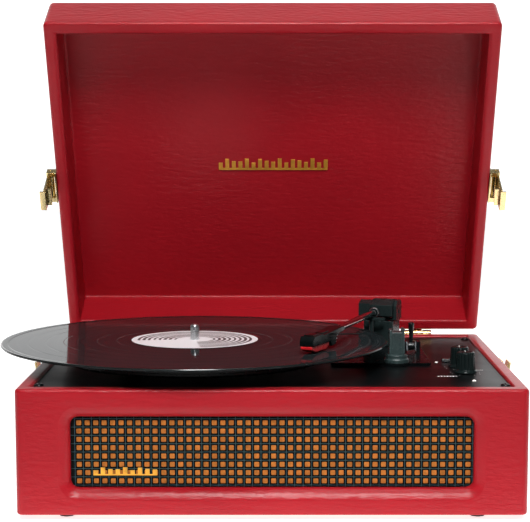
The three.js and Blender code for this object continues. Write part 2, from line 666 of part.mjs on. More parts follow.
const BASE_TOP = 112.7;
const YOKE_SHAFT = { r: 4, z0: 94 };
const baseOutline = roundedRect(-10.5, 15, -12, 14, 2.5);
const armBase = extrudeZ(baseOutline, DECK_TOP + FIT, BASE_TOP, 3);
const baseBoreZ = [YOKE_SHAFT.z0 - 1.5, BASE_TOP + PAST];
const baseBore = cylinderZ(YOKE_SHAFT.r + RUN, 0, 0, ...baseBoreZ, 20);
add('tonearm_base', cut(armBase, baseBore), 'black_plastic', armFrame);

// Yoke: turntable plate, shaft, closed housing on the left, thin cheek on the
// right, and a bore for the arm's level axle.
const YOKE_Z = BASE_TOP + 0.8;
const YOKE_PLATE_T = 1.7;
const YOKE = { left: -17, leftInner: -5.4, rightInner: 15, right: 17.4, half: 9 };
const ARM_AXLE_R = 1.5;
const yokeFloor = YOKE_Z + 1;
const yokePlate = box(YOKE.left, YOKE.right, -YOKE.half, YOKE.half, YOKE_Z, YOKE_Z + YOKE_PLATE_T);
const yokeShaft = cylinderZ(YOKE_SHAFT.r, 0, 0, YOKE_SHAFT.z0, yokeFloor, 20);
const housingOutline = [
  [-3, yokeFloor],
  [YOKE.half, yokeFloor],
  [YOKE.half, 127.5],
  [6, 128.5],
  [-3, 126],
];
const cheekOutline = [
  [-YOKE.half, yokeFloor],
  [YOKE.half, yokeFloor],
  [YOKE.half, 127],
  [6, 129.5],
  [-5, 129.5],
  [-YOKE.half, 125.5],
];
const yokeLeft = extrudeX(housingOutline, YOKE.left, YOKE.leftInner);
const yokeRight = extrudeX(cheekOutline, YOKE.rightInner, YOKE.right);
const axleBore = cylinderX(ARM_AXLE_R + RUN, YOKE.leftInner - 3.6, YOKE.right + 0.6, 0, ARM_Z, 16);
const yoke = cut(join(yokePlate, yokeShaft, yokeLeft, yokeRight), axleBore);
add('tonearm_yoke', yoke, 'black_plastic', armFrame);

// Arm block between the cheeks, with the collar that grips the tube.
const BLOCK_Z = YOKE_Z + 2.4;
const BLOCK = { left: -4.7, right: 14.6, front: -13, back: 8 };
const COLLAR = { r: 4.3, front: -16.5, back: -12, boreBack: -13.5 };
const blockOutline = [
  [BLOCK.front, BLOCK_Z],
  [BLOCK.back, BLOCK_Z],
  [BLOCK.back, 129],
  [5, 130],
  [-9, 129.2],
  [BLOCK.front, 126],
];
const blockBody = extrudeX(blockOutline, BLOCK.left, BLOCK.right);
const axleX = [YOKE.leftInner - 3.1, YOKE.right - 0.4];
const armAxle = cylinderX(ARM_AXLE_R, ...axleX, 0, ARM_Z, 16);
const collar = cylinderY(COLLAR.r, 0, COLLAR.front, COLLAR.back, ARM_Z, 20);
const collarBoreY = [COLLAR.front - 0.5, COLLAR.boreBack];
const collarBore = cylinderY(TUBE_R + 0.15, 0, ...collarBoreY, ARM_Z, 18);
const armBlock = cut(join(blockBody, armAxle, collar), collarBore);
add('arm_block', armBlock, 'black_plastic', armFrame);

// A hollow tube along -Y.
const TUBE_WALL = 0.6;
function armTube(y0, y1) {
  const outer = cylinderY(TUBE_R, 0, y0, y1, ARM_Z, 18);
  return cut(outer, cylinderY(TUBE_R - TUBE_WALL, 0, y0 - PAST, y1 + PAST, ARM_Z, 14));
}
add('arm_tube', armTube(-ARM_LEN, COLLAR.boreBack - FIT), 'chrome', armFrame);

const headFrame = new THREE.Group();
headFrame.position.set(0, -ARM_LEN, 0);
headFrame.rotation.z = -rad(HEAD_DEG);
armFrame.add(headFrame);

// Headshell: deep at the rear, thin over the cartridge, with a finger lift.
const HEAD_LEN = 63;
const HEAD_HALF = 5.6;
const FINGER_LIFT = { length: 24, width: 2.4, t: 1.2, x: 13.5, y: -16, z: 118.4, deg: 33 };
const shellOutline = [
  [-1.5, 122.6],
  [-1.5, 112],
  [-9, 109.8],
  [-26, 109.8],
  [-29.5, 113.8],
  [-HEAD_LEN, 113.8],
  [-HEAD_LEN, 118.4],
  [-HEAD_LEN + 2.5, 121.4],
  [-HEAD_LEN + 18, 121.6],
  [-HEAD_LEN + 20, 120.6],
];
const liftBlank = new THREE.BoxGeometry(FINGER_LIFT.length, FINGER_LIFT.width, FINGER_LIFT.t);
liftBlank.rotateZ(rad(FINGER_LIFT.deg));
liftBlank.translate(FINGER_LIFT.x, FINGER_LIFT.y, FINGER_LIFT.z);
const headshell = join(extrudeX(shellOutline, -HEAD_HALF, HEAD_HALF), solid(liftBlank));
add('headshell', headshell, 'black_plastic', headFrame);

const cartridgeOutline = [
  [-30, 113.5],
  [-HEAD_LEN - 0.5, 113.5],
  [-HEAD_LEN - 0.5, 111.4],
  [-56, 109],
  [-36, 109],
  [-30, 111.4],
];
add('cartridge', extrudeX(cartridgeOutline, 1 - HEAD_HALF, HEAD_HALF - 1), 'red_plastic', headFrame);
const STYLUS_Y = -53;
const STYLUS_TIP = RECORD_Z1 + 0.15;
const STYLUS_TOP = 108.8;
const stylusProfile = [[0, STYLUS_TIP], [0.3, STYLUS_TIP + 0.1], [0.8, STYLUS_TOP], [0, STYLUS_TOP]];
add('stylus', turned(stylusProfile, 0, STYLUS_Y, 10), 'steel', headFrame);

// Cue platform: an arc under the tube on a pin that slides in the deck.
const PLATFORM = { halfWidth: 1.8, reach: rad(26), z0: 114.6, z1: 116.9 };
function cuePlatform() {
  const mid = -Math.PI / 2;
  const start = mid - PLATFORM.reach;
  const end = mid + PLATFORM.reach;
  const s = new THREE.Shape();
  s.absarc(0, 0, LIFT_R + PLATFORM.halfWidth, start, end, false);
  s.absarc(0, 0, LIFT_R - PLATFORM.halfWidth, end, start, true);
  s.closePath();
  const arc = extrudeZ(s, PLATFORM.z0, PLATFORM.z1, 10);
  const pinZ = [PLATE_BOTTOM - 2, PLATFORM.z0 + 0.4];
  return join(arc, cylinderZ(LIFT_PIN_R, 0, -LIFT_R, ...pinZ, 14));
}
add('cue_platform', cuePlatform(), 'black_plastic', armFrame);

// ----------------------------------------------------- boards and rear jacks
const BOARD = { x0: -20, x1: 110, y0: 40, y1: 118, z: 14, t: 1.6, inset: 6, postR: 3 };
const HEAT_SINK = { x0: 20, x1: 50, y0: 60, y1: 66, height: 16 };
const CAPACITOR = { xs: [66, 82], y: 74, r: 6, height: 18 };
const boardPosts = [BOARD.x0 + BOARD.inset, BOARD.x1 - BOARD.inset].flatMap((x) => {
  return [BOARD.y0 + BOARD.inset, BOARD.y1 - BOARD.inset].map((y) => {
    return cylinderZ(BOARD.postR, x, y, BOTTOM_T, BOARD.z + 0.5, 8);
  });
});
const heatSink = box(
  HEAT_SINK.x0,
  HEAT_SINK.x1,
  HEAT_SINK.y0,
  HEAT_SINK.y1,
  BOARD.z,
  BOARD.z + HEAT_SINK.height,
);
const capacitors = CAPACITOR.xs.map((x) => {
  return cylinderZ(CAPACITOR.r, x, CAPACITOR.y, BOARD.z, BOARD.z + CAPACITOR.height, 12);
});
const boardSlab = box(BOARD.x0, BOARD.x1, BOARD.y0, BOARD.y1, BOARD.z, BOARD.z + BOARD.t);
const circuitBoard = join(boardSlab, ...boardPosts, heatSink, ...capacitors);
add('circuit_board', circuitBoard, 'green_board');

// Panel behind the opening in the rear wall, with the sockets through it.
const JACK_Z = (JACKS.z0 + JACKS.z1) / 2;
const DC_X = JACKS.x1 - 14;
const RCA_X = [JACKS.x0 + 14, JACKS.x0 + 34];
const PANEL_Y = IN_BACK - 0.2;
const PANEL = { t: 2, lap: 5, holeR: 5.4 };
const SOCKET_BACK = PANEL_Y - 14;
const SOCKET_FACE = PANEL_Y - PANEL.t - 0.4;
const jackPanel = box(
  JACKS.x0 - PANEL.lap,
  JACKS.x1 + PANEL.lap,
  PANEL_Y - PANEL.t,
  PANEL_Y,
  JACKS.z0 - PANEL.lap,
  JACKS.z1 + PANEL.lap,
);
const holeY = [PANEL_Y - PANEL.t - PAST, PANEL_Y + PAST];
const jackHoles = [DC_X, ...RCA_X].map((x) => cylinderY(PANEL.holeR, x, ...holeY, JACK_Z, 14));
add('jack_panel', cut(jackPanel, ...jackHoles), 'black_plastic');

const DC = { r: 5, boreR: 2.9, pinR: 1, block: 6, out: 4, depth: 6 };
const dcBarrel = cylinderY(DC.r, DC_X, SOCKET_BACK + 2, PANEL_Y + DC.out, JACK_Z, 14);
const dcBlock = box(
  DC_X - DC.block,
  DC_X + DC.block,
  SOCKET_BACK,
  SOCKET_FACE,
  JACK_Z - DC.block,
  JACK_Z + DC.block,
);
const dcBore = cylinderY(DC.boreR, DC_X, PANEL_Y - DC.depth, PANEL_Y + DC.out + PAST, JACK_Z, 12);
const dcPin = cylinderY(DC.pinR, DC_X, PANEL_Y - DC.depth - 1, PANEL_Y + DC.out - 1, JACK_Z, 10);
add('dc_socket', join(cut(join(dcBarrel, dcBlock), dcBore), dcPin), 'black_plastic');

const RCA = { r: 4.6, boreR: 1.7, block: 8, out: 7 };
const rcaBlock = box(
  RCA_X[0] - RCA.block,
  RCA_X[1] + RCA.block,
  SOCKET_BACK,
  SOCKET_FACE,
  JACK_Z - RCA.block,
  JACK_Z + RCA.block,
);
const rcaY = [PANEL_Y - 4, PANEL_Y + RCA.out];
const rcaBarrels = RCA_X.map((x) => cylinderY(RCA.r, x, ...rcaY, JACK_Z, 14));
const rcaBoreY = [PANEL_Y - 1, PANEL_Y + RCA.out + PAST];
const rcaBores = RCA_X.map((x) => cylinderY(RCA.boreR, x, ...rcaBoreY, JACK_Z, 12));
add('rca_sockets', cut(join(rcaBlock, ...rcaBarrels), ...rcaBores), 'steel');

// ------------------------------------------------------------- carry handle
const PIVOT_OUT = HALF_D + 7;
const HANDLE_PLATE = { past: 8, t: 1.5, half: 7 };
const HANDLE_EAR = { past: 5, halfT: 1.5, out: 4 };
const HANDLE_PIN_R = 1.8;
const plateHalf = HANDLE_HALF + HANDLE_PLATE.past;
const handlePlate = box(
  -plateHalf,
  plateHalf,
  HALF_D,
  HALF_D + HANDLE_PLATE.t,
  HANDLE_Z - HANDLE_PLATE.half,
  HANDLE_Z + HANDLE_PLATE.half,
);
const handleEars = [-1, 1].map((s) => {
  const x = s * (HANDLE_HALF + HANDLE_EAR.past);
  const out = HANDLE_EAR.out;
  const xs = [x - HANDLE_EAR.halfT, x + HANDLE_EAR.halfT];
  return box(...xs, HALF_D + 1, PIVOT_OUT + out, HANDLE_Z - out, HANDLE_Z + out);
});
const handleBoreX = [-plateHalf - PAST, plateHalf + PAST];
const handleBore = cylinderX(HANDLE_PIN_R + RUN, ...handleBoreX, PIVOT_OUT, HANDLE_Z, 14);
add('handle_plate', cut(join(handlePlate, ...handleEars), handleBore), 'brass');

const GRIP_R = 5;
const HANDLE_ARM = { halfX: 3, halfY: 3.5 };
const gripZ = HANDLE_Z - HANDLE_DROP;
const armX = HANDLE_HALF - 1;
const handleArms = [-armX, armX].map((x) => {
  const ys = [PIVOT_OUT - HANDLE_ARM.halfY, PIVOT_OUT + HANDLE_ARM.halfY];
  return box(x - HANDLE_ARM.halfX, x + HANDLE_ARM.halfX, ...ys, gripZ, HANDLE_Z + HANDLE_ARM.halfY);
});
const pinEnd = HANDLE_HALF + HANDLE_EAR.past + HANDLE_EAR.halfT - 0.5;
const handlePins = [[-pinEnd, -armX], [armX, pinEnd]].map((xs) => {
  return cylinderX(HANDLE_PIN_R, ...xs, PIVOT_OUT, HANDLE_Z, 14);
});
const gripHalf = HANDLE_HALF + 1;
const grip = cylinderX(GRIP_R, -gripHalf, gripHalf, PIVOT_OUT, gripZ, 20);
add('carry_handle', join(grip, ...handleArms, ...handlePins), 'leatherette');

// ------------------------------------------------------------- base catches
// Seen from the front: a plate on the case's side with a lip that turns up.
const CATCH_T = 1.4;
const CATCH_HALF = 9;
const catchOutline = [
  [0, 72],
  [CATCH_T, 72],
  [CATCH_T, 81],
  [6.5, 82.5],
  [7.5, 88.5],
  [5.8, 88.5],
  [5, 84.6],
  [CATCH_T, 84.6],
  [CATCH_T, 89.5],
  [0, 89.5],
];
function baseCatch(s) {
  const y = HALF_D - LATCH_U;
  const corners = catchOutline.map(([x, z]) => new THREE.Vector2(s * (HALF_W + x), z));
  return extrudeY(new THREE.Shape(corners), y - CATCH_HALF, y + CATCH_HALF);
}
add('latch_catch_left', baseCatch(-1), 'brass');
add('latch_catch_right', baseCatch(1), 'brass');

// ---------------------------------------------------------------- hinge, base
// Base leaf with the two outer knuckles and the pin.
const LEAF = { t: 1.2, length: 24, clear: 3.5 }; // clear: from the rim to the leaf's full width
const KNUCKLE_LEN = HINGE_LEN / 3;
function baseLeaf(s) {
  const x0 = s * HINGE_X - HINGE_LEN / 2;
  const x1 = s * HINGE_X + HINGE_LEN / 2;
  const axisY = HALF_D + HINGE_BACK;
  const leafY = [HALF_D, HALF_D + LEAF.t];
  const leaf = box(x0, x1, ...leafY, BASE_H - LEAF.length, BASE_H - LEAF.clear);
  const ends = [[x0, x0 + KNUCKLE_LEN - FIT], [x1 - KNUCKLE_LEN + FIT, x1]];
  const knuckles = ends.map((xs) => cylinderX(KNUCKLE_R, ...xs, axisY, BASE_H, 14));
  const tabs = ends.map((xs) => box(...xs, ...leafY, BASE_H - LEAF.clear - 0.5, BASE_H));
  const pin = cylinderX(PIN_R, x0, x1, axisY, BASE_H, 10);
  return join(leaf, ...tabs, ...knuckles, pin);
}
add('hinge_base_left', baseLeaf(-1), 'brass');
add('hinge_base_right', baseLeaf(1), 'brass');

// ---------------------------------------------------------------------- lid
// Drawn closed: the hinge axis is X, the lid reaches forward along -Y and its
// rim lies at Z 0.
const lidFrame = new THREE.Group();
lidFrame.position.set(0, HALF_D + HINGE_BACK, BASE_H);
lidFrame.rotation.x = -rad(LID_OPEN_DEG);
player.add(lidFrame);

const LID_BACK = -HINGE_BACK;
const LID_FRONT = LID_BACK - CASE_D;
const lidOuter = extrudeZ(roundedRect(-HALF_W, HALF_W, LID_FRONT, LID_BACK, CORNER_R), 0, LID_H);
const panelZ = LID_H - LID_PANEL;
const lidInner = box(-IN_X, IN_X, LID_FRONT + WALL, LID_BACK - WALL, -PAST, panelZ);
add('lid_shell', cut(lidOuter, lidInner), 'leatherette', lidFrame);

// The bars point to the lid's front edge, which is uppermost when it is open.
const LID_BADGE = { half: 47, y: LID_BACK - 140.5, height: 11, bars: 17 };
const lidBars = barsShape(
  -LID_BADGE.half,
  LID_BADGE.half,
  LID_BADGE.y,
  LID_BADGE.y - LID_BADGE.height,
  LID_BADGE.bars,
);
add('lid_badge', extrudeZ(lidBars, panelZ - FIT - BADGE_T, panelZ - FIT), 'brass', lidFrame);

// Lid leaf with the middle knuckle, bored for the pin.
function lidLeaf(s) {
  const x0 = s * HINGE_X - HINGE_LEN / 2;
  const x1 = s * HINGE_X + HINGE_LEN / 2;
  const midX = [x0 + KNUCKLE_LEN + FIT, x1 - KNUCKLE_LEN - FIT];
  const leafY = [LID_BACK + FIT, LID_BACK + FIT + LEAF.t];
  const leaf = box(x0, x1, ...leafY, LEAF.clear, LEAF.length);
  const tab = box(...midX, ...leafY, 0, LEAF.clear + 0.5);
  const knuckle = cylinderX(KNUCKLE_R, ...midX, 0, 0, 14);
  return cut(join(leaf, tab, knuckle), cylinderX(PIN_R + FIT, x0, x1, 0, 0, 14));
}
add('hinge_lid_left', lidLeaf(-1), 'brass', lidFrame);
add('hinge_lid_right', lidLeaf(1), 'brass', lidFrame);

// Latch plate: a plate on the lid's side with two lugs.
const LATCH = { half: 14, lug: 4, lugOut: 8.5, lugZ: [2.5, 9.5], axisOut: 5.5, axisZ: 6 };
const LATCH_SKIN = { t: 1.2, z0: 1, z1: 30 };
const LATCH_PIN_R = 1;
const latchY = LID_BACK - LATCH_U;

// A box beside the case, given by how far its two faces stand out from it.
function sideBox(s, out0, out1, y0, y1, z0, z1) {
  const xs = [s * (HALF_W + out0), s * (HALF_W + out1)].sort((a, b) => a - b);
  return box(...xs, y0, y1, z0, z1);
}

function latchPlate(s) {
  const skinY = [latchY - LATCH.half, latchY + LATCH.half];
  const skin = sideBox(s, FIT, FIT + LATCH_SKIN.t, ...skinY, LATCH_SKIN.z0, LATCH_SKIN.z1);
  const lugs = [-1, 1].map((e) => {
    const edge = latchY + e * LATCH.half;
    const ys = [edge, edge - e * LATCH.lug].sort((a, b) => a - b);
    return sideBox(s, FIT, LATCH.lugOut, ...ys, ...LATCH.lugZ);
  });
  const axisX = s * (HALF_W + LATCH.axisOut);
  const boreY = [skinY[0] - PAST, skinY[1] + PAST];
  const bore = cylinderY(LATCH_PIN_R + RUN, axisX, ...boreY, LATCH.axisZ, 12);
  return cut(join(skin, ...lugs), bore);
}
add('latch_plate_left', latchPlate(-1), 'brass', lidFrame);
add('latch_plate_right', latchPlate(1), 'brass', lidFrame);

// Hasp: barrel, strap, inward hook and outward finger tab.
const STRAP = { in: 7, out: 8.5, foot: -20 };
const HOOK = { in: 3, out: 8, z0: -14.5, z1: -12.8, narrower: 2 };
const TAB = { out: 11.5, z0: -21.2, z1: -19.8, narrower: 1 };
function hasp(s) {
  const half = LATCH.half - LATCH.lug - 0.5;
  const axisX = s * (HALF_W + LATCH.axisOut);
  const barrel = cylinderY(3, axisX, latchY - half, latchY + half, LATCH.axisZ, 18);
  const pinHalf = LATCH.half - 0.5;
  const pin = cylinderY(LATCH_PIN_R, axisX, latchY - pinHalf, latchY + pinHalf, LATCH.axisZ, 12);
  const across = (narrower) => [latchY - half + narrower, latchY + half - narrower];
  const strap = sideBox(s, STRAP.in, STRAP.out, ...across(0), STRAP.foot, LATCH.axisZ);
  const hook = sideBox(s, HOOK.in, HOOK.out, ...across(HOOK.narrower), HOOK.z0, HOOK.z1);
  const tab = sideBox(s, STRAP.in, TAB.out, ...across(TAB.narrower), TAB.z0, TAB.z1);
  return join(barrel, pin, strap, hook, tab);
}
add('latch_hasp_left', hasp(-1), 'brass', lidFrame);
add('latch_hasp_right', hasp(1), 'brass', lidFrame);

export default player;
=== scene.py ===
"""Looks of the suitcase record player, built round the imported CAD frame.

Lengths are in millimetres inside the builders and are scaled to metres when a
mesh is made. +X right, +Y back, +Z up.
"""

import json
import math
import random

import bmesh
import bpy
from mathutils import Matrix, Vector

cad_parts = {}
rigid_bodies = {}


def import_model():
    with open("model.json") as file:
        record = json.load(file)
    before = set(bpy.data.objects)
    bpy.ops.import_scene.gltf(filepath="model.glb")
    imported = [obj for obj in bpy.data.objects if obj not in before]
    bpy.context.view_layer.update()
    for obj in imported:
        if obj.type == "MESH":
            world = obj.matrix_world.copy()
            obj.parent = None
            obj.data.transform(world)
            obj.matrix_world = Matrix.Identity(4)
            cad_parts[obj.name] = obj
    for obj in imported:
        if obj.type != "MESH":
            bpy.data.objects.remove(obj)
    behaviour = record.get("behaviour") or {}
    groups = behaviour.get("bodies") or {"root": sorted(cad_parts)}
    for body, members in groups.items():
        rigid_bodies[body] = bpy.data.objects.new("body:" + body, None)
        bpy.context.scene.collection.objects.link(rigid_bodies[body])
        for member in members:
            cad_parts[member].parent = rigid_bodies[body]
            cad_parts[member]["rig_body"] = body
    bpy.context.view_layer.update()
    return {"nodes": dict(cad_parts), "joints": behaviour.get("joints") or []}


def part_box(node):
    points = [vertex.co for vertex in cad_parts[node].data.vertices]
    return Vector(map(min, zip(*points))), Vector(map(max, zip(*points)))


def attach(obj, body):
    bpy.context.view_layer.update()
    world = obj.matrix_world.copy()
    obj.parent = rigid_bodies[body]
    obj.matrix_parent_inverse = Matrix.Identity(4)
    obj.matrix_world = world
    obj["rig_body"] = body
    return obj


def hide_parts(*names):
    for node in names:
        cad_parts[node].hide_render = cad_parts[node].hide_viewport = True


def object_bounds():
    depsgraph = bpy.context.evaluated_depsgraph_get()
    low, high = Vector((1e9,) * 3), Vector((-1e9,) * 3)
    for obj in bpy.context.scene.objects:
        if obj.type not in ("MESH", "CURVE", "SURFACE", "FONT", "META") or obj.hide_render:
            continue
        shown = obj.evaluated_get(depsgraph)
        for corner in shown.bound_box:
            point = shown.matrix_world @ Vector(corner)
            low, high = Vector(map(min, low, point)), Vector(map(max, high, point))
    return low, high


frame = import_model()
MM = 0.001
rad = math.radians
rng = random.Random(7)


# ---- the frame
def span(node):
    """Lowest and highest corners of a CAD node, in millimetres."""
    low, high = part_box(node)
    return low / MM, high / MM


def middle(node):
    low, high = span(node)
    return (low + high) / 2


BASE_LOW, BASE_HIGH = span("base_shell")
PLATE_LOW, PLATE_HIGH = span("top_plate")
SPINDLE = middle("spindle")
CORNER_NAMES = ("fl", "fr", "rl", "rr")
LID_OPEN = rad(63.75)
ARM_HEADING = rad(18.5)  # at rest, turned inward from straight ahead
HEAD_OFFSET = rad(6)  # of the headshell, against the tube
ARM_LENGTH = 121
joint_at = {j["name"]: Vector(j.get("pos_m", (0, 0, 0))) / MM for j in frame["joints"]}
HINGE = joint_at["lid_hinge"]
PIVOT = joint_at["tonearm_lift"]
# Where the lid, the arm and the headshell stand at rest.
LID = Matrix.Translation(HINGE) @ Matrix.Rotation(-LID_OPEN, 4, "X")
ARM = Matrix.Translation((PIVOT.x, PIVOT.y, 0)) @ Matrix.Rotation(-ARM_HEADING, 4, "Z")
HEAD = ARM @ Matrix.Translation((0, -ARM_LENGTH, 0)) @ Matrix.Rotation(-HEAD_OFFSET, 4, "Z")


# ---- camera and light
# Fitted to the corners of the case and the lid and to the record's outline.
CAMERA_AT = (0.00452, -1.20757, 0.27417)
CAMERA_DOWN = 6.898  # degrees below level
LENS = 103.86
SENSOR = 36
SHIFT = (-0.0253, 0.0965)

# Softboxes: place, target and size in metres, power in watts, spread in degrees.
TOP_SOFTBOX = ((0, -0.3, 1.6), (0, -0.05, 0.1), (1.1, 0.2), 7.5)
KEY_SOFTBOX = ((0.05, -1.33, 1.31), (0, -0.04, 0.1), (0.55, 0.55), 1.65, 40)

# The world's strength along Y, from the front to the wall behind the object.
WALL = (("From Min", 0.55), ("From Max", 0.92), ("To Min", 0.09), ("To Max", 1.3))
WHITE = (1, 1, 1, 1)


def look_at(obj, target):
    direction = Vector(target) - obj.location
    obj.rotation_euler = direction.to_track_quat("-Z", "Y").to_euler()


def area_light(name, location, target, size, power, spread=180):
    data = bpy.data.lights.new(name, "AREA")
    data.shape = "RECTANGLE"
    data.size, data.size_y = size
    data.energy = power
    data.spread = rad(spread)
    obj = bpy.data.objects.new(name, data)
    obj.location = location
    bpy.context.scene.collection.objects.link(obj)
    look_at(obj, target)


def studio_world():
    """A white wall of light behind the object, falling off towards the front."""
    world = bpy.data.worlds.new("studio")
    world.use_nodes = True
    nodes = world.node_tree.nodes
    links = world.node_tree.links
    coords = nodes.new("ShaderNodeTexCoord")
    apart = nodes.new("ShaderNodeSeparateXYZ")
    ramp = nodes.new("ShaderNodeMapRange")
    for key, value in WALL:
        ramp.inputs[key].default_value = value
    links.new(coords.outputs["Generated"], apart.inputs[0])
    links.new(apart.outputs["Y"], ramp.inputs["Value"])
    links.new(ramp.outputs["Result"], nodes["Background"].inputs["Strength"])
    nodes["Background"].inputs["Color"].default_value = WHITE
    return world


def camera_and_light():
    scene = bpy.context.scene
    data = bpy.data.cameras.new("camera")
    data.sensor_fit = "HORIZONTAL"
    data.sensor_width = SENSOR
    data.lens = LENS
    data.shift_x, data.shift_y = SHIFT
    data.clip_start = 0.05
    camera = bpy.data.objects.new("camera", data)
    camera.location = CAMERA_AT
    camera.rotation_euler = (rad(90 - CAMERA_DOWN), 0, 0)
    scene.collection.objects.link(camera)
    scene.camera = camera
    scene.world = studio_world()
    scene.view_settings.view_transform = "Standard"
    area_light("top_softbox", *TOP_SOFTBOX)
    area_light("key_softbox", *KEY_SOFTBOX)


# ---- materials
def linear(r, g, b):
    """A display colour of 0 to 255 as linear light."""
    def channel(v):
        v /= 255
        return v / 12.92 if v <= 0.04045 else ((v + 0.055) / 1.055) ** 2.4
    return (channel(r), channel(g), channel(b), 1)


class Look:
    """A node material with the few steps that the looks here share."""

    def __init__(self, name, colour, rough, metal=0.0, **sockets):
        self.mat = bpy.data.materials.new(name)
        self.mat.use_nodes = True
        self.nodes = self.mat.node_tree.nodes
        self.links = self.mat.node_tree.links
        self.shader = self.nodes["Principled BSDF"]
        self.colour = colour
        self.rough = rough
        self.feed(self.shader, Base_Color=colour, Roughness=rough, Metallic=metal, **sockets)
        self.place = self.node("ShaderNodeTexCoord").outputs["Object"]
        self.height = None

    def fill(self, socket, value):
        """Sets an input to a value, or links another node's output to it."""
        if isinstance(value, bpy.types.NodeSocket):
            self.links.new(value, socket)
        else:
            socket.default_value = value

    def feed(self, node, **values):
        """Fills a node's inputs by name, with _ for a space."""
        for key, value in values.items():
            self.fill(node.inputs[key.replace("_", " ")], value)

    def node(self, kind, **values):
        """A new node, with its settings and its inputs by name."""
        made = self.nodes.new(kind)
        for key, value in values.items():
            if hasattr(made, key):
                setattr(made, key, value)
            else:
                self.feed(made, **{key: value})
        return made

    def paint(self, colour):
        self.feed(self.shader, Base_Color=colour)
        return colour

    def roughen(self, rough):
        self.feed(self.shader, Roughness=rough)

    def noise(self, scale, detail=2.0, stretch=None):
        place = self.place
        if stretch:
            place = self.node("ShaderNodeMapping", Vector=place, Scale=stretch).outputs["Vector"]
        return self.node("ShaderNodeTexNoise", Scale=scale, Detail=detail, Vector=place).outputs["Fac"]

    def cells(self, scale):
        made = self.node("ShaderNodeTexVoronoi", feature="F1", Scale=scale, Vector=self.place)
        return made.outputs["Distance"]

    def math(self, operation, a, b=0):
        """A sum on one or two values; one that takes a single value ignores b."""
        made = self.node("ShaderNodeMath", operation=operation)
        self.fill(made.inputs[0], a)
        self.fill(made.inputs[1], b)
        return made.outputs[0]

    def spread(self, fac, low, high, from_low=0.3, from_high=0.7):
        made = self.node("ShaderNodeMapRange", Value=fac, From_Min=from_low, From_Max=from_high)
        self.feed(made, To_Min=low, To_Max=high)
        return made.outputs["Result"]

    def mix(self, fac, a, b):
        """A colour between a and b; the node's colour sockets go by number."""
        made = self.node("ShaderNodeMix", data_type="RGBA", Factor=fac)
        self.fill(made.inputs[6], a)
        self.fill(made.inputs[7], b)
        return made.outputs[2]

    def apart(self):
        """The X, Y and Z of the place."""
        return self.node("ShaderNodeSeparateXYZ", Vector=self.place).outputs

    def sine(self, value, period):
        return self.math("SINE", self.math("MULTIPLY", value, 2 * math.pi / period))

    def noise_along(self, value, scale, detail):
        place = self.math("MULTIPLY", value, scale)
        made = self.node("ShaderNodeTexNoise", noise_dimensions="1D", Detail=detail, Scale=1.0, W=place)
        return made.outputs["Fac"]

    def shade(self, factor):
        return tuple(c * factor for c in self.colour[:3]) + (1,)

    def mottle(self, scale, amount, detail=3.0):
        """Colour that wanders a little lighter and darker."""
        fac = self.spread(self.noise(scale, detail), 0, 1)
        return self.paint(self.mix(fac, self.shade(1 - amount), self.shade(1 + amount)))

    def lighter_edges(self, colour_socket, amount, tint):
        """Lighter along the convex edges, broken up by noise."""
        geometry = self.node("ShaderNodeNewGeometry")
        edge = self.spread(geometry.outputs["Pointiness"], 0, amount, 0.52, 0.62)
        broken = self.math("MULTIPLY", edge, self.spread(self.noise(160, 4), 0.2, 1))
        self.paint(self.mix(broken, colour_socket, self.shade(tint)))

    def uneven(self, scale, amount, detail=3.0):
        """Roughness that varies over the surface."""
        self.roughen(self.spread(self.noise(scale, detail), self.rough - amount, self.rough + amount))

    def bump(self, height, strength, distance_mm):
        made = self.node("ShaderNodeBump", Strength=strength, Distance=distance_mm * MM, Height=height)
        if self.height is not None:
            self.feed(made, Normal=self.height)
        self.height = made.outputs["Normal"]
        self.feed(self.shader, Normal=self.height)

    def from_axis(self, x, y):
        apart = self.apart()
        return self.math("SUBTRACT", apart["X"], x * MM), self.math("SUBTRACT", apart["Y"], y * MM)

    def radius_about(self, x, y):
        """Distance from an upright axis, in metres."""
        dx, dy = self.from_axis(x, y)
        square = self.math("ADD", self.math("MULTIPLY", dx, dx), self.math("MULTIPLY", dy, dy))
        return self.math("SQRT", square)


def leatherette():
    """Embossed leathercloth: pebbled cells, a fine pore and soft wrinkles along X."""
    look = Look("leatherette", linear(174, 24, 36), 0.33, Specular_IOR_Level=0.3)
    look.lighter_edges(look.mottle(14, 0.05), 0.5, 1.35)
    look.uneven(40, 0.02)
    look.bump(look.cells(700), 0.25, 0.08)
    look.bump(look.noise(2600, 3), 0.2, 0.05)
    look.bump(look.noise(340, 2, (0.35, 1, 1)), 0.9, 0.45)
    look.bump(look.noise(30, 2), 0.25, 0.25)
    return look.mat


def moulded(name, colour, rough, grain=3000, depth=0.01, edge_tint=3.0, **sockets):
    """Moulded plastic, lighter at its edges by the given factor."""
    look = Look(name, colour, rough, **sockets)
    look.lighter_edges(look.mottle(60, 0.12), 0.6, edge_tint)
    look.uneven(140, 0.05)
    look.bump(look.noise(grain, 2), 0.35, depth)
    return look.mat


def painted_plate():
    look = Look("plate_black", linear(11, 14, 15), 0.34, IOR=1.15)
    look.mottle(9, 0.2)
    look.uneven(26, 0.04, 5)
    look.bump(look.noise(3500, 2), 0.3, 0.02)
    return look.mat


def metal(name, colour, rough, stretch=(1, 1, 1), scratch=900, depth=0.01):
    look = Look(name, colour, rough, 1.0)
    look.mottle(90, 0.08)
    fac = look.noise(scratch, 3, stretch)
    look.roughen(look.spread(fac, rough - 0.07, rough + 0.1))
    look.bump(fac, 0.35, depth)
    return look.mat


# The record's grooves and print: gaps and reaches in metres, turns in radians.
TRACK_GAP = 0.0153
RING_GAP = 0.0041
PRINT_REACH = ((0.0125, 0.013), (0.0450, 0.0455))  # where the rings begin and end
DUST = (0.5, 0.5, 0.5, 1)
BLANK_TURN = ((-3.02, -2.97), (-1.45, -1.4))  # the angles between which the label is blank


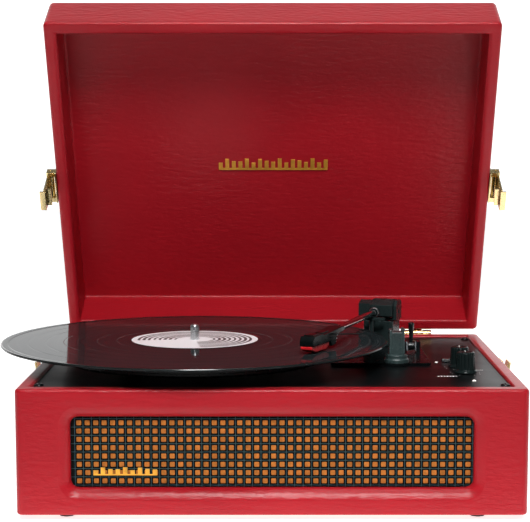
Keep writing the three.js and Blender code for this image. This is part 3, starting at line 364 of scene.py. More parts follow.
def vinyl():
    look = Look("vinyl", linear(30, 36, 38), 0.06, IOR=1.085)
    radius = look.radius_about(SPINDLE.x, SPINDLE.y)
    tracks = look.noise_along(radius, 160, 1.0)
    look.roughen(look.spread(tracks, 0.04, 0.1))
    look.bump(look.noise_along(radius, 2600, 3.0), 0.12, 0.004)
    # Thin light grey rings at the gaps between the tracks, a painted sheen.
    gaps = look.math("ABSOLUTE", look.sine(radius, 2 * TRACK_GAP))
    line = look.spread(gaps, 1, 0, 0.02, 0.09)
    played = look.mix(tracks, look.shade(0.75), look.shade(1.3))
    dust = look.spread(look.noise(700, 6), 0, 0.03, 0.62, 0.8)
    with_gap_sheen = look.mix(look.math("MULTIPLY", line, 0.5), played, linear(104, 106, 106))
    look.paint(look.mix(dust, with_gap_sheen, DUST))
    return look.mat


def label_paper():
    """Off-white paper with printed rings, left blank over the front left quarter."""
    look = Look("label_paper", linear(250, 248, 250), 0.4)
    radius = look.radius_about(SPINDLE.x, SPINDLE.y)
    wave = look.sine(radius, RING_GAP)
    weight = look.spread(look.sine(radius, 4.4 * RING_GAP), 0.25, -0.35, -1, 1)
    rings = look.spread(look.math("ADD", wave, weight), 1, 0, -0.35, 0.1)
    (begin, full), (fade, end) = PRINT_REACH
    keep = look.math("MULTIPLY", look.spread(radius, 0, 1, begin, full), look.spread(radius, 1, 0, fade, end))
    dx, dy = look.from_axis(SPINDLE.x, SPINDLE.y)
    turn = look.math("ARCTAN2", dy, dx)
    before, after = BLANK_TURN
    printed = look.math("MAXIMUM", look.spread(turn, 0, 1, *after), look.spread(turn, 1, 0, *before))
    ink = look.math("MULTIPLY", look.math("MULTIPLY", rings, keep), printed)
    look.paint(look.mix(ink, look.colour, linear(44, 34, 36)))
    look.bump(look.noise(1500, 3), 0.12, 0.01)
    return look.mat


def felt():
    look = Look("felt", linear(26, 26, 28), 0.95, Sheen_Weight=0.4, Sheen_Roughness=0.5)
    look.mottle(300, 0.3)
    look.bump(look.noise(1800, 5), 0.6, 0.25)
    return look.mat


def rubber():
    look = Look("rubber", linear(24, 24, 25), 0.8)
    look.mottle(120, 0.15)
    look.bump(look.noise(1600, 3), 0.4, 0.06)
    return look.mat


def woven(name, colour, amount, thread, rough=0.8, per_cell=0.0):
    """Cloth of crossing threads in the X and Z directions."""
    look = Look(name, colour, rough, Specular_IOR_Level=0.12)
    apart = look.apart()
    weave = look.math("MULTIPLY", look.sine(apart["X"], thread * MM), look.sine(apart["Z"], thread * MM))
    base = look.mottle(500, amount)
    if per_cell:
        tone = look.node("ShaderNodeAttribute", attribute_name="tone", attribute_type="GEOMETRY")
        warm = look.mix(tone.outputs["Fac"], look.shade(1 - per_cell), look.shade(1 + per_cell))
        base = look.mix(look.spread(look.noise(600, 3), 0.2, 0.8), warm, base)
    look.paint(look.mix(look.spread(weave, 0, 0.35, -0.6, 0.2), base, look.shade(0.35)))
    look.bump(weave, 0.5, 0.12)
    return look.mat


def fibreboard():
    look = Look("fibreboard", linear(176, 140, 98), 0.8)
    look.mottle(420, 0.18, 5)
    look.bump(look.noise(1400, 4), 0.4, 0.1)
    return look.mat


def circuit():
    look = Look("circuit_green", linear(26, 96, 52), 0.4, Coat_Weight=0.3)
    look.mottle(200, 0.15)
    look.bump(look.noise(800, 2), 0.2, 0.05)
    return look.mat


# The floor's glow in front of the object and behind it, and where it changes along Y.
GLOW_FRONT, GLOW_BACK = 0.08, 0.8
GLOW_FROM, GLOW_TO = -0.22, -0.165


def floor_surface():
    """White, and lit a little from within, so that the backdrop stays white."""
    look = Look("floor_white", linear(246, 246, 246), 0.7)
    glow = look.spread(look.apart()["Y"], GLOW_FRONT, GLOW_BACK, GLOW_FROM, GLOW_TO)
    look.feed(look.shader, Emission_Color=WHITE, Emission_Strength=glow)
    look.mottle(3, 0.01)
    look.bump(look.noise(60, 2), 0.05, 0.2)
    return look.mat


MAT = {
    "leatherette": leatherette(),
    "plate": painted_plate(),
    "plastic": moulded("black_plastic", linear(14, 18, 19), 0.27, depth=0.03),
    "deck": moulded("deck_plastic", linear(12, 15, 16), 0.24, edge_tint=4.0, IOR=1.1),
    "arm_plastic": moulded("arm_plastic", linear(32, 42, 42), 0.26, edge_tint=1.3, IOR=1.25),
    "knob_plastic": moulded("knob_plastic", linear(24, 33, 33), 0.24, edge_tint=1.3, IOR=1.22),
    "red_plastic": moulded("red_plastic", linear(190, 26, 32), 0.3),
    "white_plastic": moulded("white_plastic", linear(236, 236, 230), 0.3),
    "vinyl": vinyl(),
    "label": label_paper(),
    "felt": felt(),
    "rubber": rubber(),
    "brass": metal("brass", linear(236, 214, 158), 0.2),
    "gold": moulded("gold_badge", linear(204, 148, 52), 0.38, metal=0.4),
    "chrome": metal("chrome", linear(226, 228, 230), 0.07, (1, 1, 12), 300, 0.002),
    "satin": metal("satin", linear(216, 218, 220), 0.27, (1, 1, 8), 300, 0.002),
    "rim_vinyl": moulded("rim_vinyl", linear(22, 28, 28), 0.14, depth=0.005, edge_tint=1.1),
    "steel": metal("steel", linear(150, 150, 152), 0.35, (1, 1, 6)),
    "board": fibreboard(),
    "circuit": circuit(),
    "grille_dark": woven("grille_dark", linear(9, 11, 8), 0.3, 0.9),
    "grille_square": woven("grille_square", linear(196, 120, 52), 0.3, 0.8, per_cell=0.34),
    "grille_thread": woven("grille_thread", linear(72, 108, 120), 0.2, 0.5, rough=0.6),
    "head_plastic": moulded("head_plastic", linear(10, 16, 16), 0.22, edge_tint=1.2, IOR=1.28),
    # the cartridge pins: near white, a painted highlight for their glints
    "pin_glint_white": moulded("pin_glint_white", linear(235, 238, 238), 0.3),
    "dull_steel": metal("dull_steel", linear(78, 80, 82), 0.5),
    "rest_plastic": moulded("rest_plastic", linear(50, 64, 64), 0.28),
    "ink": moulded("print_white", linear(215, 215, 212), 0.5, depth=0.005),
    "cone": moulded("speaker_cone", linear(20, 20, 22), 0.8, grain=900, depth=0.1),
    "floor": floor_surface(),
}


# ---- mesh construction
def piece(name, bm, material, body, slot=None, replaces=(), matrix=None, sharp=32, weighted=True):
    """An object from a mesh in millimetres, which rides on a body."""
    if matrix is not None:
        bmesh.ops.transform(bm, matrix=matrix, verts=bm.verts)
    bmesh.ops.scale(bm, vec=(MM, MM, MM), verts=bm.verts)
    bmesh.ops.recalc_face_normals(bm, faces=bm.faces)
    mesh = bpy.data.meshes.new(name)
    bm.to_mesh(mesh)
    bm.free()
    mesh.shade_smooth()
    mesh.set_sharp_from_angle(angle=rad(sharp))
    mesh.materials.append(MAT[material])
    obj = bpy.data.objects.new(name, mesh)
    bpy.context.scene.collection.objects.link(obj)
    if weighted:
        flat = obj.modifiers.new("flat_faces", "WEIGHTED_NORMAL")
        flat.keep_sharp = True
    if body:
        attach(obj, body)
    if replaces:
        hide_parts(*replaces)
    return obj


def filleted(points, radius, steps=3):
    """A flat line of points, with the corners between its ends rounded."""
    out = [points[0]]
    for before, point, after in zip(points, points[1:], points[2:]):
        here = Vector(point)
        back = Vector(before) - here
        on = Vector(after) - here
        reach = min(radius / math.tan(back.angle(on) / 2), 0.45 * back.length, 0.45 * on.length)
        start = here + back.normalized() * reach
        end = here + on.normalized() * reach
        for k in range(steps + 1):
            t = k / steps
            out.append(tuple(start * (1 - t) ** 2 + here * 2 * t * (1 - t) + end * t**2))
    return out + [points[-1]]


def bridge(bm, a, b, skip=()):
    """Faces between two rings; a ring of one vertex is a point."""
    count = max(len(a), len(b))
    for i in range(count):
        if i in skip:
            continue
        j = (i + 1) % count
        if len(a) == 1:
            bm.faces.new((a[0], b[j], b[i]))
        elif len(b) == 1:
            bm.faces.new((a[i], a[j], b[0]))
        else:
            bm.faces.new((a[i], a[j], b[j], b[i]))


def lathe(bm, profile, x, y, sides, flute=None):
    """A profile of (radius, height) turned about an upright axis."""
    closed = Vector(profile[0]) == Vector(profile[-1])
    rings = []
    for r, z in profile[:-1] if closed else profile:
        if r < 1e-6:
            rings.append([bm.verts.new((x, y, z))])
            continue
        ring = []
        for k in range(sides):
            turn = 2 * math.pi * k / sides
            reach = r + (flute(turn, r, z) if flute else 0)
            ring.append(bm.verts.new((x + reach * math.cos(turn), y + reach * math.sin(turn), z)))
        rings.append(ring)
    pairs = list(zip(rings, rings[1:]))
    if closed:
        pairs.append((rings[-1], rings[0]))
    for a, b in pairs:
        bridge(bm, a, b)


def turned(name, profile, centre, sides, *made, flute=None, **more):
    """A piece turned about an upright axis."""
    bm = bmesh.new()
    lathe(bm, profile, centre.x, centre.y, sides, flute)
    return piece(name, bm, *made, **more)


def circle(radius, count):
    turns = [2 * math.pi * k / count for k in range(count)]
    return [(radius * math.cos(turn), radius * math.sin(turn)) for turn in turns]


def rounded(x0, x1, y0, y1, r, steps=6, support=3.0):
    """Outline of a rounded rectangle, with a point past each end of a corner."""
    corners = ((x1 - r, y0 + r, -90), (x1 - r, y1 - r, 0), (x0 + r, y1 - r, 90), (x0 + r, y0 + r, 180))

    def past(point, turn, reach):
        return (point[0] + reach * math.sin(turn), point[1] - reach * math.cos(turn))

    out = []
    for cx, cy, start in corners:
        turns = [rad(start + 90 * k / steps) for k in range(steps + 1)]
        arc = [(cx + r * math.cos(turn), cy + r * math.sin(turn)) for turn in turns]
        out += [past(arc[0], turns[0], support), *arc, past(arc[-1], turns[-1], -support)]
    return out


def rings_of(bm, loops):
    return [[bm.verts.new(point) for point in loop] for loop in loops]


def skin(bm, loops):
    """A closed skin through loops of points, with a flat face at each end."""
    rings = rings_of(bm, loops)
    for a, b in zip(rings, rings[1:]):
        bridge(bm, a, b)
    bm.faces.new(rings[0])
    bm.faces.new(rings[-1])


def fill_between(bm, outer, inner):
    """A flat face with a hole, between two closed runs of vertices."""
    edges = [
        bm.edges.get((a, b)) or bm.edges.new((a, b))
        for run in (outer, inner) for a, b in zip(run, run[1:] + run[:1])
    ]
    bmesh.ops.triangle_fill(bm, use_beauty=True, use_dissolve=False, edges=edges)


def round_edges(bm, edges, reach, steps):
    bmesh.ops.bevel(
        bm, geom=list(edges), offset=reach, offset_type="OFFSET", segments=steps,
        profile=0.5, affect="EDGES", clamp_overlap=True,
    )


def prism(bm, outline, low, high, axis="X", bevel=0.5, steps=3):
    """An outline extruded along an axis, its edges rounded."""
    order = {"X": lambda a, b, t: (t, a, b), "Y": lambda a, b, t: (a, t, b), "Z": lambda a, b, t: (a, b, t)}
    at = order[axis]
    lower = [bm.verts.new(at(a, b, low)) for a, b in outline]
    upper = [bm.verts.new(at(a, b, high)) for a, b in outline]
    faces = [bm.faces.new(lower), bm.faces.new(upper)]
    count = len(outline)
    for i in range(count):
        j = (i + 1) % count
        faces.append(bm.faces.new((lower[i], lower[j], upper[j], upper[i])))
    bmesh.ops.recalc_face_normals(bm, faces=faces)
    if bevel:
        # Each edge once, in the order of the faces, so that every run gives the same mesh.
        edges = dict.fromkeys(e for f in faces for e in f.edges if e.calc_face_angle(0) > rad(20))
        round_edges(bm, edges, bevel, steps)


def block(bm, x0, x1, y0, y1, z0, z1, bevel=0.5, steps=3):
    prism(bm, [(x0, y0), (x1, y0), (x1, y1), (x0, y1)], z0, z1, "Z", bevel, steps)


def refined(node, material, bevel, steps, slot, sharp=40):
    """A CAD node's shape as clean faces with rounded edges."""
    source = frame["nodes"][node]
    bm = bmesh.new()
    bm.from_mesh(source.data)
    bmesh.ops.scale(bm, vec=(1 / MM,) * 3, verts=bm.verts)
    bmesh.ops.remove_doubles(bm, verts=bm.verts, dist=0.002)
    bmesh.ops.recalc_face_normals(bm, faces=bm.faces)
    bmesh.ops.dissolve_limit(
        bm, angle_limit=rad(1), use_dissolve_boundaries=False,
        verts=bm.verts, edges=bm.edges, delimit=set(),
    )
    edges = [e for e in bm.edges if e.is_manifold and e.calc_face_angle(0) > rad(33)]
    round_edges(bm, edges, bevel, steps)
    piece(node + "_shape", bm, material, source["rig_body"], slot, (node,), sharp=sharp)


def grid(bm, columns, rows, at):
    """A sheet of four-sided faces; at(i, k) gives each corner's place."""
    points = [[bm.verts.new(at(i, k)) for k in range(rows + 1)] for i in range(columns + 1)]
    for a, b in zip(points, points[1:]):
        for k in range(rows):
            bm.faces.new((a[k], b[k], b[k + 1], a[k + 1]))


# ---- the case
CORNER = 5  # radius of the case's upright corners
RIM = 10  # width of the rim round the plate
FRONT_RIM = 14
MOUTH_HALF = 143.5
MOUTH_Z0 = 19
MOUTH_Z1 = 70.4
MOUTH_CORNER = 6
# The leather that rolls into the grille's mouth: outward reach and depth.
MOUTH_ROLL = ((8.5, 0), (7.4, 0.22), (6.2, 0.68), (5.0, 1.24), (3.8, 1.86), (2.6, 2.75),
              (1.5, 3.85), (0.65, 4.9), (0.15, 5.9), (0, 6.8))
PORT_ROLL = ((2.2, 0), (1.2, 0.3), (0.4, 1.0), (0, 2.2), (0, RIM))
PORT_INSET = 5  # of the jack panel's opening, inside the panel's edge


def case_outline(inset, radius, front=None):
    front = inset if front is None else front
    x = BASE_HIGH.x - inset
    return rounded(-x, x, BASE_LOW.y + front, BASE_HIGH.y - inset, radius)


def upright(outline, y):
    return [(x, y, z) for x, z in outline]


def build_base():
    """The case's leather: walls and rims as rings, with two windows let in."""
    bm = bmesh.new()
    top = BASE_HIGH.z
    outer = ((2, 0), (1, 0.25), (0.3, 0.9), (0, 1.9), (0, 5), (0, top - 6), (0, top - 2.8),
             (0.22, top - 1.5), (0.8, top - 0.6), (1.7, top - 0.12), (2.6, top), (6, top))
    inner = ((8, top), (9.2, top - 0.35), (9.8, top - 1.1), (10, top - 2.2), (10, PLATE_LOW.z), (10, 0))
    loops = []
    for inset, z in outer:
        loops.append([(x, y, z) for x, y in case_outline(inset, max(CORNER - inset, 1.2))])
    for inset, z in inner:
        radius = 1.2 if inset > 8 else 2
        front = inset + (FRONT_RIM - RIM) * (inset - 6) / 4
        loops.append([(x, y, z) for x, y in case_outline(inset, radius, front)])
    rings = rings_of(bm, loops)
    count = len(rings[0])
    front_gap = count - 1
    rear_gap = count // 2 - 1
    wall = 4  # the ring below the outer wall's tall faces
    well = len(rings) - 2  # the ring above the inner wall's tall faces
    for k, (a, b) in enumerate(zip(rings, rings[1:] + rings[:1])):
        skip = {front_gap, rear_gap} if k in (wall, well) else set()
        bridge(bm, a, b, skip)

    def window(low, high, gap):
        nxt = (gap + 1) % count
        return [low[gap], low[nxt], high[nxt], high[gap]]

    def open_window(loops, gap):
        """Joins an opening's rings to the outer and the inner wall."""
        made = rings_of(bm, loops)
        for a, b in zip(made, made[1:]):
            bridge(bm, a, b)
        fill_between(bm, window(rings[wall], rings[wall + 1], gap), made[0])
        fill_between(bm, window(rings[well], rings[well + 1], gap), made[-1])

    def swollen(low, high, out, radius, steps, support):
        return rounded(low[0] - out, high[0] + out, low[1] - out, high[1] + out, radius, steps, support)

    face = BASE_LOW.y
    low, high = span("speaker_grille")
    mouth_low = (-MOUTH_HALF, MOUTH_Z0)
    mouth_high = (MOUTH_HALF, MOUTH_Z1)
    mouth = [
        upright(swollen(mouth_low, mouth_high, out, MOUTH_CORNER + out, 8, 4), face + depth)
        for out, depth in MOUTH_ROLL + ((0, low.y - face),)
    ]
    pocket = swollen((low.x, low.z), (high.x, high.z), 0.3, 0.6, 8, 4)
    open_window(mouth + [upright(pocket, low.y), upright(pocket, face + FRONT_RIM)], front_gap)

    low, high = span("jack_panel")
    port_low = (low.x + PORT_INSET, low.z + PORT_INSET)
    port_high = (high.x - PORT_INSET, high.z - PORT_INSET)
    port = [
        upright(swollen(port_low, port_high, out, 1 + out, 5, 2), BASE_HIGH.y - depth)
        for out, depth in PORT_ROLL
    ]
    open_window(port, rear_gap)
    piece("case_leather", bm, "leatherette", "case", "leatherette", ("base_shell",), sharp=50)


LID_DEPTH = 44


def build_lid():
    """The lid as it lies closed, about its hinge: outside, rim, then its hollow."""
    bm = bmesh.new()
    width = BASE_HIGH.x
    y1 = -(HINGE.y - BASE_HIGH.y)
    y0 = y1 - (BASE_HIGH.y - BASE_LOW.y)
    deep = LID_DEPTH
    panel = deep - 4
    # How far in each ring lies, the radius of its corners, and its height.
    rings = (
        (7, 2.2, deep), (2.8, 2.4, deep), (1.7, 2.8, deep - 0.15), (0.8, 3.4, deep - 0.75),
        (0.2, 3.8, deep - 1.7), (0, 4, deep - 2.8), (0, 4, 2.8), (0.18, 3.8, 1.5), (0.7, 3.4, 0.6),
        (1.5, 2.8, 0.1), (2.4, 2.4, 0), (6.6, 2, 0), (8.2, 1.8, 0.1), (9.3, 1.6, 0.7), (9.9, 1.5, 1.7),
        (10, 1.5, 3), (10, 1.5, panel - 2.5), (10.4, 1.5, panel - 0.9), (11.2, 1.5, panel - 0.2),
        (12.5, 1.5, panel),
    )
    loops = []
    for inset, radius, z in rings:
        corners = rounded(inset - width, width - inset, y0 + inset, y1 - inset, radius)
        loops.append([(x, y, z) for x, y in corners])
    skin(bm, loops)
    piece("lid_leather", bm, "leatherette", "lid", "leatherette", ("lid_shell",), LID, sharp=50)


# ---- grille of cloth
# The squares stop short of the mouth's left and top edges, so that the dark backing shows there as painted
# shade under the lip.
PITCH = 6.03
COLUMNS = 47
ROWS = 8
FIRST_X = -137.56
FIRST_Z = 23.2
SQUARE = 1.8  # half of a square's side
SQUARE_LIFT = (0.05, 0.55, 0.72, 0.55, 0.05)
CLOTH_HALF = 144.5
CLOTH_Z0 = 17.8
CLOTH_Z1 = 74.4
THREAD_R = 0.15
THREAD_DIP = 0.28


def build_grille():
    """A dark backing, raised squares, and threads that cross between them."""
    low, high = span("speaker_grille")
    face = low.y
    size = high - low
    columns, rows = 120, 24
    bm = bmesh.new()
    backing = face + 0.9
    grid(bm, columns, rows, lambda i, k: (low.x + size.x * i / columns, backing, low.z + size.z * k / rows))
    piece("grille_backing", bm, "grille_dark", "case", "grille_cloth", ("speaker_grille",))
    build_squares(face)
    build_threads(face)


def build_squares(face):
    """Each square is a low cushion, with a tone of its own."""
    bm = bmesh.new()
    tone = bm.verts.layers.float.new("tone")
    last = len(SQUARE_LIFT) - 1
    for i in range(COLUMNS):
        for k in range(ROWS):
            cx = FIRST_X + i * PITCH
            cz = FIRST_Z + k * PITCH
            before = len(bm.verts)

            def at(a, b):
                u = 2 * a / last - 1
                v = 2 * b / last - 1
                height = min(SQUARE_LIFT[a], SQUARE_LIFT[b])
                round_off = 1 - 0.07 * (u * v) ** 2
                reach = SQUARE * round_off * (1 + 0.05 * (1 - abs(u)) * (1 - abs(v)))
                return (cx + u * reach, face + 0.85 - height, cz + v * reach)

            grid(bm, last, last, at)
            bm.verts.ensure_lookup_table()
            shade = rng.random()
            for vert in bm.verts[before:]:
                vert[tone] = shade
    piece("grille_squares", bm, "grille_square", "case", "grille_cloth", sharp=60, weighted=False)


def build_threads(face):
    bm = bmesh.new()

    def thread(start, end, across, phase, flat):
        """A thread that dips under every other crossing."""
        steps = int((end - start) / 1.5)
        loops = []
        for s in range(steps + 1):
            t = start + (end - start) * s / steps
            dip = THREAD_DIP * math.sin(math.pi * (t / PITCH) + phase)
            loops.append([
                flat(t, face + 0.42 + dip + 0.8 * depth, across + side)
                for side, depth in circle(THREAD_R, 6)
            ])
        skin(bm, loops)

    for k in range(ROWS + 1):
        z = FIRST_Z + (k - 0.5) * PITCH
        if CLOTH_Z0 < z < CLOTH_Z1:
            thread(-CLOTH_HALF, CLOTH_HALF, z, k * math.pi, lambda t, depth, across: (t, depth, across))
    for i in range(COLUMNS + 1):
        x = FIRST_X + (i - 0.5) * PITCH
        if -CLOTH_HALF < x < CLOTH_HALF:
            thread(CLOTH_Z0, CLOTH_Z1, x, (i + 1) * math.pi, lambda t, depth, across: (across, depth, t))
    piece("grille_threads", bm, "grille_thread", "case", "grille_cloth", sharp=70, weighted=False)


# ---- platter, record
def build_platter():
    low, high = span("platter")
    edge = high.x - SPINDLE.x
    drive = 62  # radius of the ring that the belt runs on
    under, lip = 98.6, 94
    profile = [
        (3.6, low.z), (drive, low.z), (drive, under), (edge - 5, under), (edge - 5, lip),
        (edge - 1.2, lip), (edge, lip + 1.4), (edge, lip + 2.8), (edge - 0.7, lip + 3.2), (edge - 0.7, under),
        (edge, under + 0.4), (edge, under + 3.8), (edge - 1.6, high.z), (edge - 3, high.z), (3.6, high.z),
        (3.6, low.z),
    ]
    turned("platter_turned", profile, SPINDLE, 128, "plastic", "platter", "black_metal", ("platter",))

    low, high = span("slipmat")
    edge = high.x - SPINDLE.x
    profile = [(4, low.z), (edge - 0.5, low.z), (edge, low.z + 0.6), (edge, high.z - 0.6),
               (edge - 0.6, high.z), (4, high.z), (4, low.z)]
    turned("slipmat_felt", profile, SPINDLE, 96, "felt", "platter", "felt", ("slipmat",),
           flute=lambda turn, r, z: 0.12 * math.sin(23 * turn) if r > 50 else 0)


LABEL = 50
HOLE = 3.62
BANDS = 6
BANDS_END = 60  # innermost radius of the grooves
GROOVE_DEPTH = 0.35


def build_record():
    low, high = span("record")
    edge = high.x - SPINDLE.x
    z0, z1 = low.z, high.z
    mid = (z0 + z1) / 2
    groove = z1 - GROOVE_DEPTH
    profile = [(HOLE, z0 + 0.2), (LABEL + 2, z0 + 0.2), (LABEL + 5, z0 + 0.35), (edge - 7, z0 + 0.3),
               (edge - 4, z0), (edge - 1.4, z0), (edge - 0.5, z0 + 0.35), (edge, mid), (edge - 0.4, z1 - 0.4),
               (edge - 1.3, z1 - 0.05), (edge - 3.4, z1), (edge - 5.2, z1 - 0.12), (edge - 6.5, groove)]
    outer = edge - 8
    band = (outer - BANDS_END) / BANDS
    for k in range(BANDS):
        a = outer - band * k
        b = a - band
        profile += [(a, groove), (b + 1.2, groove), (b + 0.9, groove - 0.05), (b + 0.3, groove - 0.05)]
    profile += [(BANDS_END - 2, groove), (LABEL + 3.5, groove - 0.02), (LABEL + 2.2, groove + 0.12),
                (LABEL + 0.8, z1 - 0.12), (LABEL - 1, z1 - 0.1), (12, z1 - 0.1), (HOLE, z1 - 0.1)]
    profile.append(profile[0])
    turned("record_vinyl", profile, SPINDLE, 180, "vinyl", "platter", "vinyl", ("record",), sharp=6)

    # The polished bead round the rim.
    bead = [(edge - 0.7, mid - 0.25), (edge - 0.1, mid - 0.2), (edge + 0.03, mid), (edge - 0.32, z1 - 0.32),
            (edge - 0.6, z1 - 0.1), (edge - 1.3, z1 + 0.01), (edge - 1.5, z1 - 0.3), (edge - 0.7, mid - 0.25)]
    turned("record_rim", bead, SPINDLE, 240, "rim_vinyl", "platter", "vinyl", sharp=70)

    top = z1 + 0.02
    paper = [(3.7, z1 - 0.08), (LABEL - 0.4, z1 - 0.08), (LABEL - 0.3, top), (20, top), (3.7, top),
             (3.7, z1 - 0.08)]
    turned("record_label", paper, SPINDLE, 128, "label", "platter", "vinyl")

    low, high = span("spindle")
    radius = 3.5
    top = high.z
    pin = [(0, low.z), (radius, low.z), (radius, z1 - 0.3), (radius + 0.05, z1 + 0.2),
           (radius, z1 + 0.5), (radius, top - 2.2), (radius - 0.25, top - 1.1),
           (radius - 0.9, top - 0.35), (radius - 2, top - 0.05), (0, top)]
    turned("spindle_turned", pin, SPINDLE, 48, "satin", "platter", "chrome", ("spindle",))


# ---- controls
FLUTES = 14
FLUTE_DEPTH = 0.7


def build_knob(node, body):
    """A knob on a flat skirt, with fluted sides, a dished top and a pointer."""
    at = middle(node)
    low, high = span(node)
    reach = (high.x - low.x) / 2
    cap = reach - 1.2
    plate = PLATE_HIGH.z

    def flute(turn, r, z):
        if z < plate + 3.2 or z > high.z - 1.2 or r < cap - 1.6:
            return 0
        return -FLUTE_DEPTH * max(0, math.cos(FLUTES * turn)) ** 3

    profile = [
        (0, low.z), (3, low.z), (3, plate + 0.4), (reach - 0.4, plate + 0.4), (reach, plate + 0.8),
        (reach - 0.15, plate + 1.6), (cap + 0.5, plate + 2.2), (cap + 0.1, plate + 2.8),
        (cap, plate + 3.4), (cap - 0.15, plate + 6), (cap - 0.3, plate + 9), (cap - 0.45, plate + 12),
        (cap - 0.5, high.z - 1.5), (cap - 0.8, high.z - 0.7), (cap - 1.5, high.z - 0.2),
        (cap - 2.4, high.z), (cap - 2.8, high.z - 0.25), (2, high.z - 0.35), (0, high.z - 0.35),
    ]
    turned(node + "_fluted", profile, at, 108, "knob_plastic", body, "black_plastic", (node,),
           flute=flute, sharp=48)
    bm = bmesh.new()
    block(bm, at.x - 0.45, at.x + 0.45, at.y + 1.5, at.y + cap - 2.2, high.z - 0.5, high.z - 0.05, 0.1, 2)
    piece(node + "_pointer", bm, "ink", body, "black_plastic")


DOT_RING = 11.3
BARS = 7
BAR_PITCH = 2.2
BARS_Y = -77


def build_print():
    """Plain printed marks on the plate: dots round the knobs and a row of bars."""
    bm = bmesh.new()
    z = PLATE_HIGH.z + 0.02

    def mark(x, y, half_x, half_y):
        block(bm, x - half_x, x + half_x, y - half_y, y + half_y, z - 0.05, z + 0.04, 0.02, 1)

    for node in ("volume_knob", "pitch_knob"):
        at = middle(node)
        for k in range(9):
            turn = rad(-60 + 300 * k / 8)
            if abs(math.cos(turn)) < 0.2:
                continue
            mark(at.x + DOT_RING * math.cos(turn), at.y + DOT_RING * math.sin(turn), 0.3, 0.3)
    first_bar = middle("speed_switch").x - 13
    for k in range(BARS):
        mark(first_bar + k * BAR_PITCH, BARS_Y, 0.7, 0.9 + 0.6 * (k % 2))
    mark(158.5, -47.5, 3.2, 0.35)
    piece("plate_print", bm, "ink", "case")
    dome_of = [(0, z - 0.1), (1.6, z - 0.1), (1.5, z + 0.5), (0.8, z + 0.9), (0, z + 1)]
    turned("plate_rivet", dome_of, Vector((148.4, -98.4)), 24, "white_plastic", "case")


def build_small_controls():
    refined("speed_switch", "plastic", 0.45, 3, "black_plastic")
    refined("auto_stop_switch", "plastic", 0.45, 3, "black_plastic")
    low = span("power_light")[0]
    z = PLATE_HIGH.z
    lens = [(0, low.z), (1.35, low.z), (1.35, z + 0.1), (1.2, z + 0.5), (0.7, z + 0.75), (0, z + 0.85)]
    turned("power_light_lens", lens, middle("power_light"), 28, "white_plastic", "case", "light",
           ("power_light",))
    for corner in CORNER_NAMES:
        build_screw("plate_screw_" + corner)


def build_screw(node):
    """A pan-head screw with a cross recess."""
    low = span(node)[0]
    z = PLATE_HIGH.z
    profile = [(0, low.z), (1.5, low.z), (1.5, z), (3.45, z), (3.5, z + 0.5), (3.1, z + 1.1),
               (2.3, z + 1.45), (1.7, z + 1.55), (1.2, z + 0.9), (0, z + 0.7)]

    def cross(turn, r, height):
        if height < z + 0.6 or r > 1.8:
            return 0
        return 0.55 * math.cos(4 * turn) * r / 1.7

    turned(node + "_head", profile, middle(node), 48, "plastic", "case", "black_metal", (node,),
           flute=cross, sharp=40)


# ---- tonearm
def build_deck():
    refined("mechanism_deck", "deck", 0.5, 3, "black_plastic")
    refined("cue_platform", "arm_plastic", 0.3, 2, "black_plastic")
    build_arm_rest()


def build_arm_rest():
    """A turned foot and a square post, notched for the tube."""
    at = middle("arm_rest")
    low, high = span("arm_rest")
    z = low.z
    bm = bmesh.new()
    foot = [(0, z), (9.8, z), (9.8, z + 2.5), (8.6, z + 3.6), (8.6, z + 5.9), (7.4, z + 6.6), (0, z + 6.6)]
    lathe(bm, filleted(foot, 0.5), at.x, at.y, 64)
    half, depth, notch = 6, 5.5, 3.6
    floor = 115.2
    dip = 117  # the cheek on the side that the tube comes in over
    outline = [(-half, z + 5), (half, z + 5), (half, high.z), (notch, high.z), (notch, floor),
               (-notch, floor), (-notch, dip), (-half, dip)]
    prism(bm, [(at.x + x, h) for x, h in outline], at.y - depth, at.y + depth, "Y", 0.7, 3)
    front = at.y - depth
    for x in (at.x - notch, at.x + notch):
        block(bm, x - 0.5, x + 0.5, front - 0.5, front + 0.5, z + 7.5, floor - 2, 0.3, 2)
    piece("arm_rest_post", bm, "rest_plastic", "case", "black_plastic", ("arm_rest",))


def build_cue_lever():
    """A tapered stick on a round hub, and the fork that carries it."""
    at = joint_at["cue_lever_turn"]
    low, high = span("cue_lever")
    bm = bmesh.new()
    stick = [(0, 97), (1.3, 97), (1.4, 101), (1.9, 107), (2.3, 113), (2.4, high.z - 1),
             (2.1, high.z - 0.35), (1.4, high.z), (0, high.z)]
    lathe(bm, stick, at.x, at.y, 36)
    hub = [(at.y + a, at.z + b) for a, b in circle(3.4, 36)]
    prism(bm, hub, at.x - 2.4, at.x + 2.4, "X", 0.4, 2)
    pin = [(at.y + a, at.z + b) for a, b in circle(1.4, 12)]
    prism(bm, pin, low.x, high.x, "X", 0.2, 1)
    piece("cue_lever_stick", bm, "plastic", "cue_lever", "black_plastic", ("cue_lever",))

    bm = bmesh.new()
    cheek = [(-5, 92.6), (5, 92.6), (3.6, 96.5), (2.2, 99.6), (0, 100.4), (-2.2, 99.6), (-3.6, 96.5)]
    for side in (-1, 1):
        inner, outer = sorted((at.x + side * 2.9, at.x + side * 4.1))
        prism(bm, [(at.y + a, z) for a, z in cheek], inner, outer, "X", 0.25, 2)
    piece("cue_lever_fork", bm, "dull_steel", "case", "black_plastic")


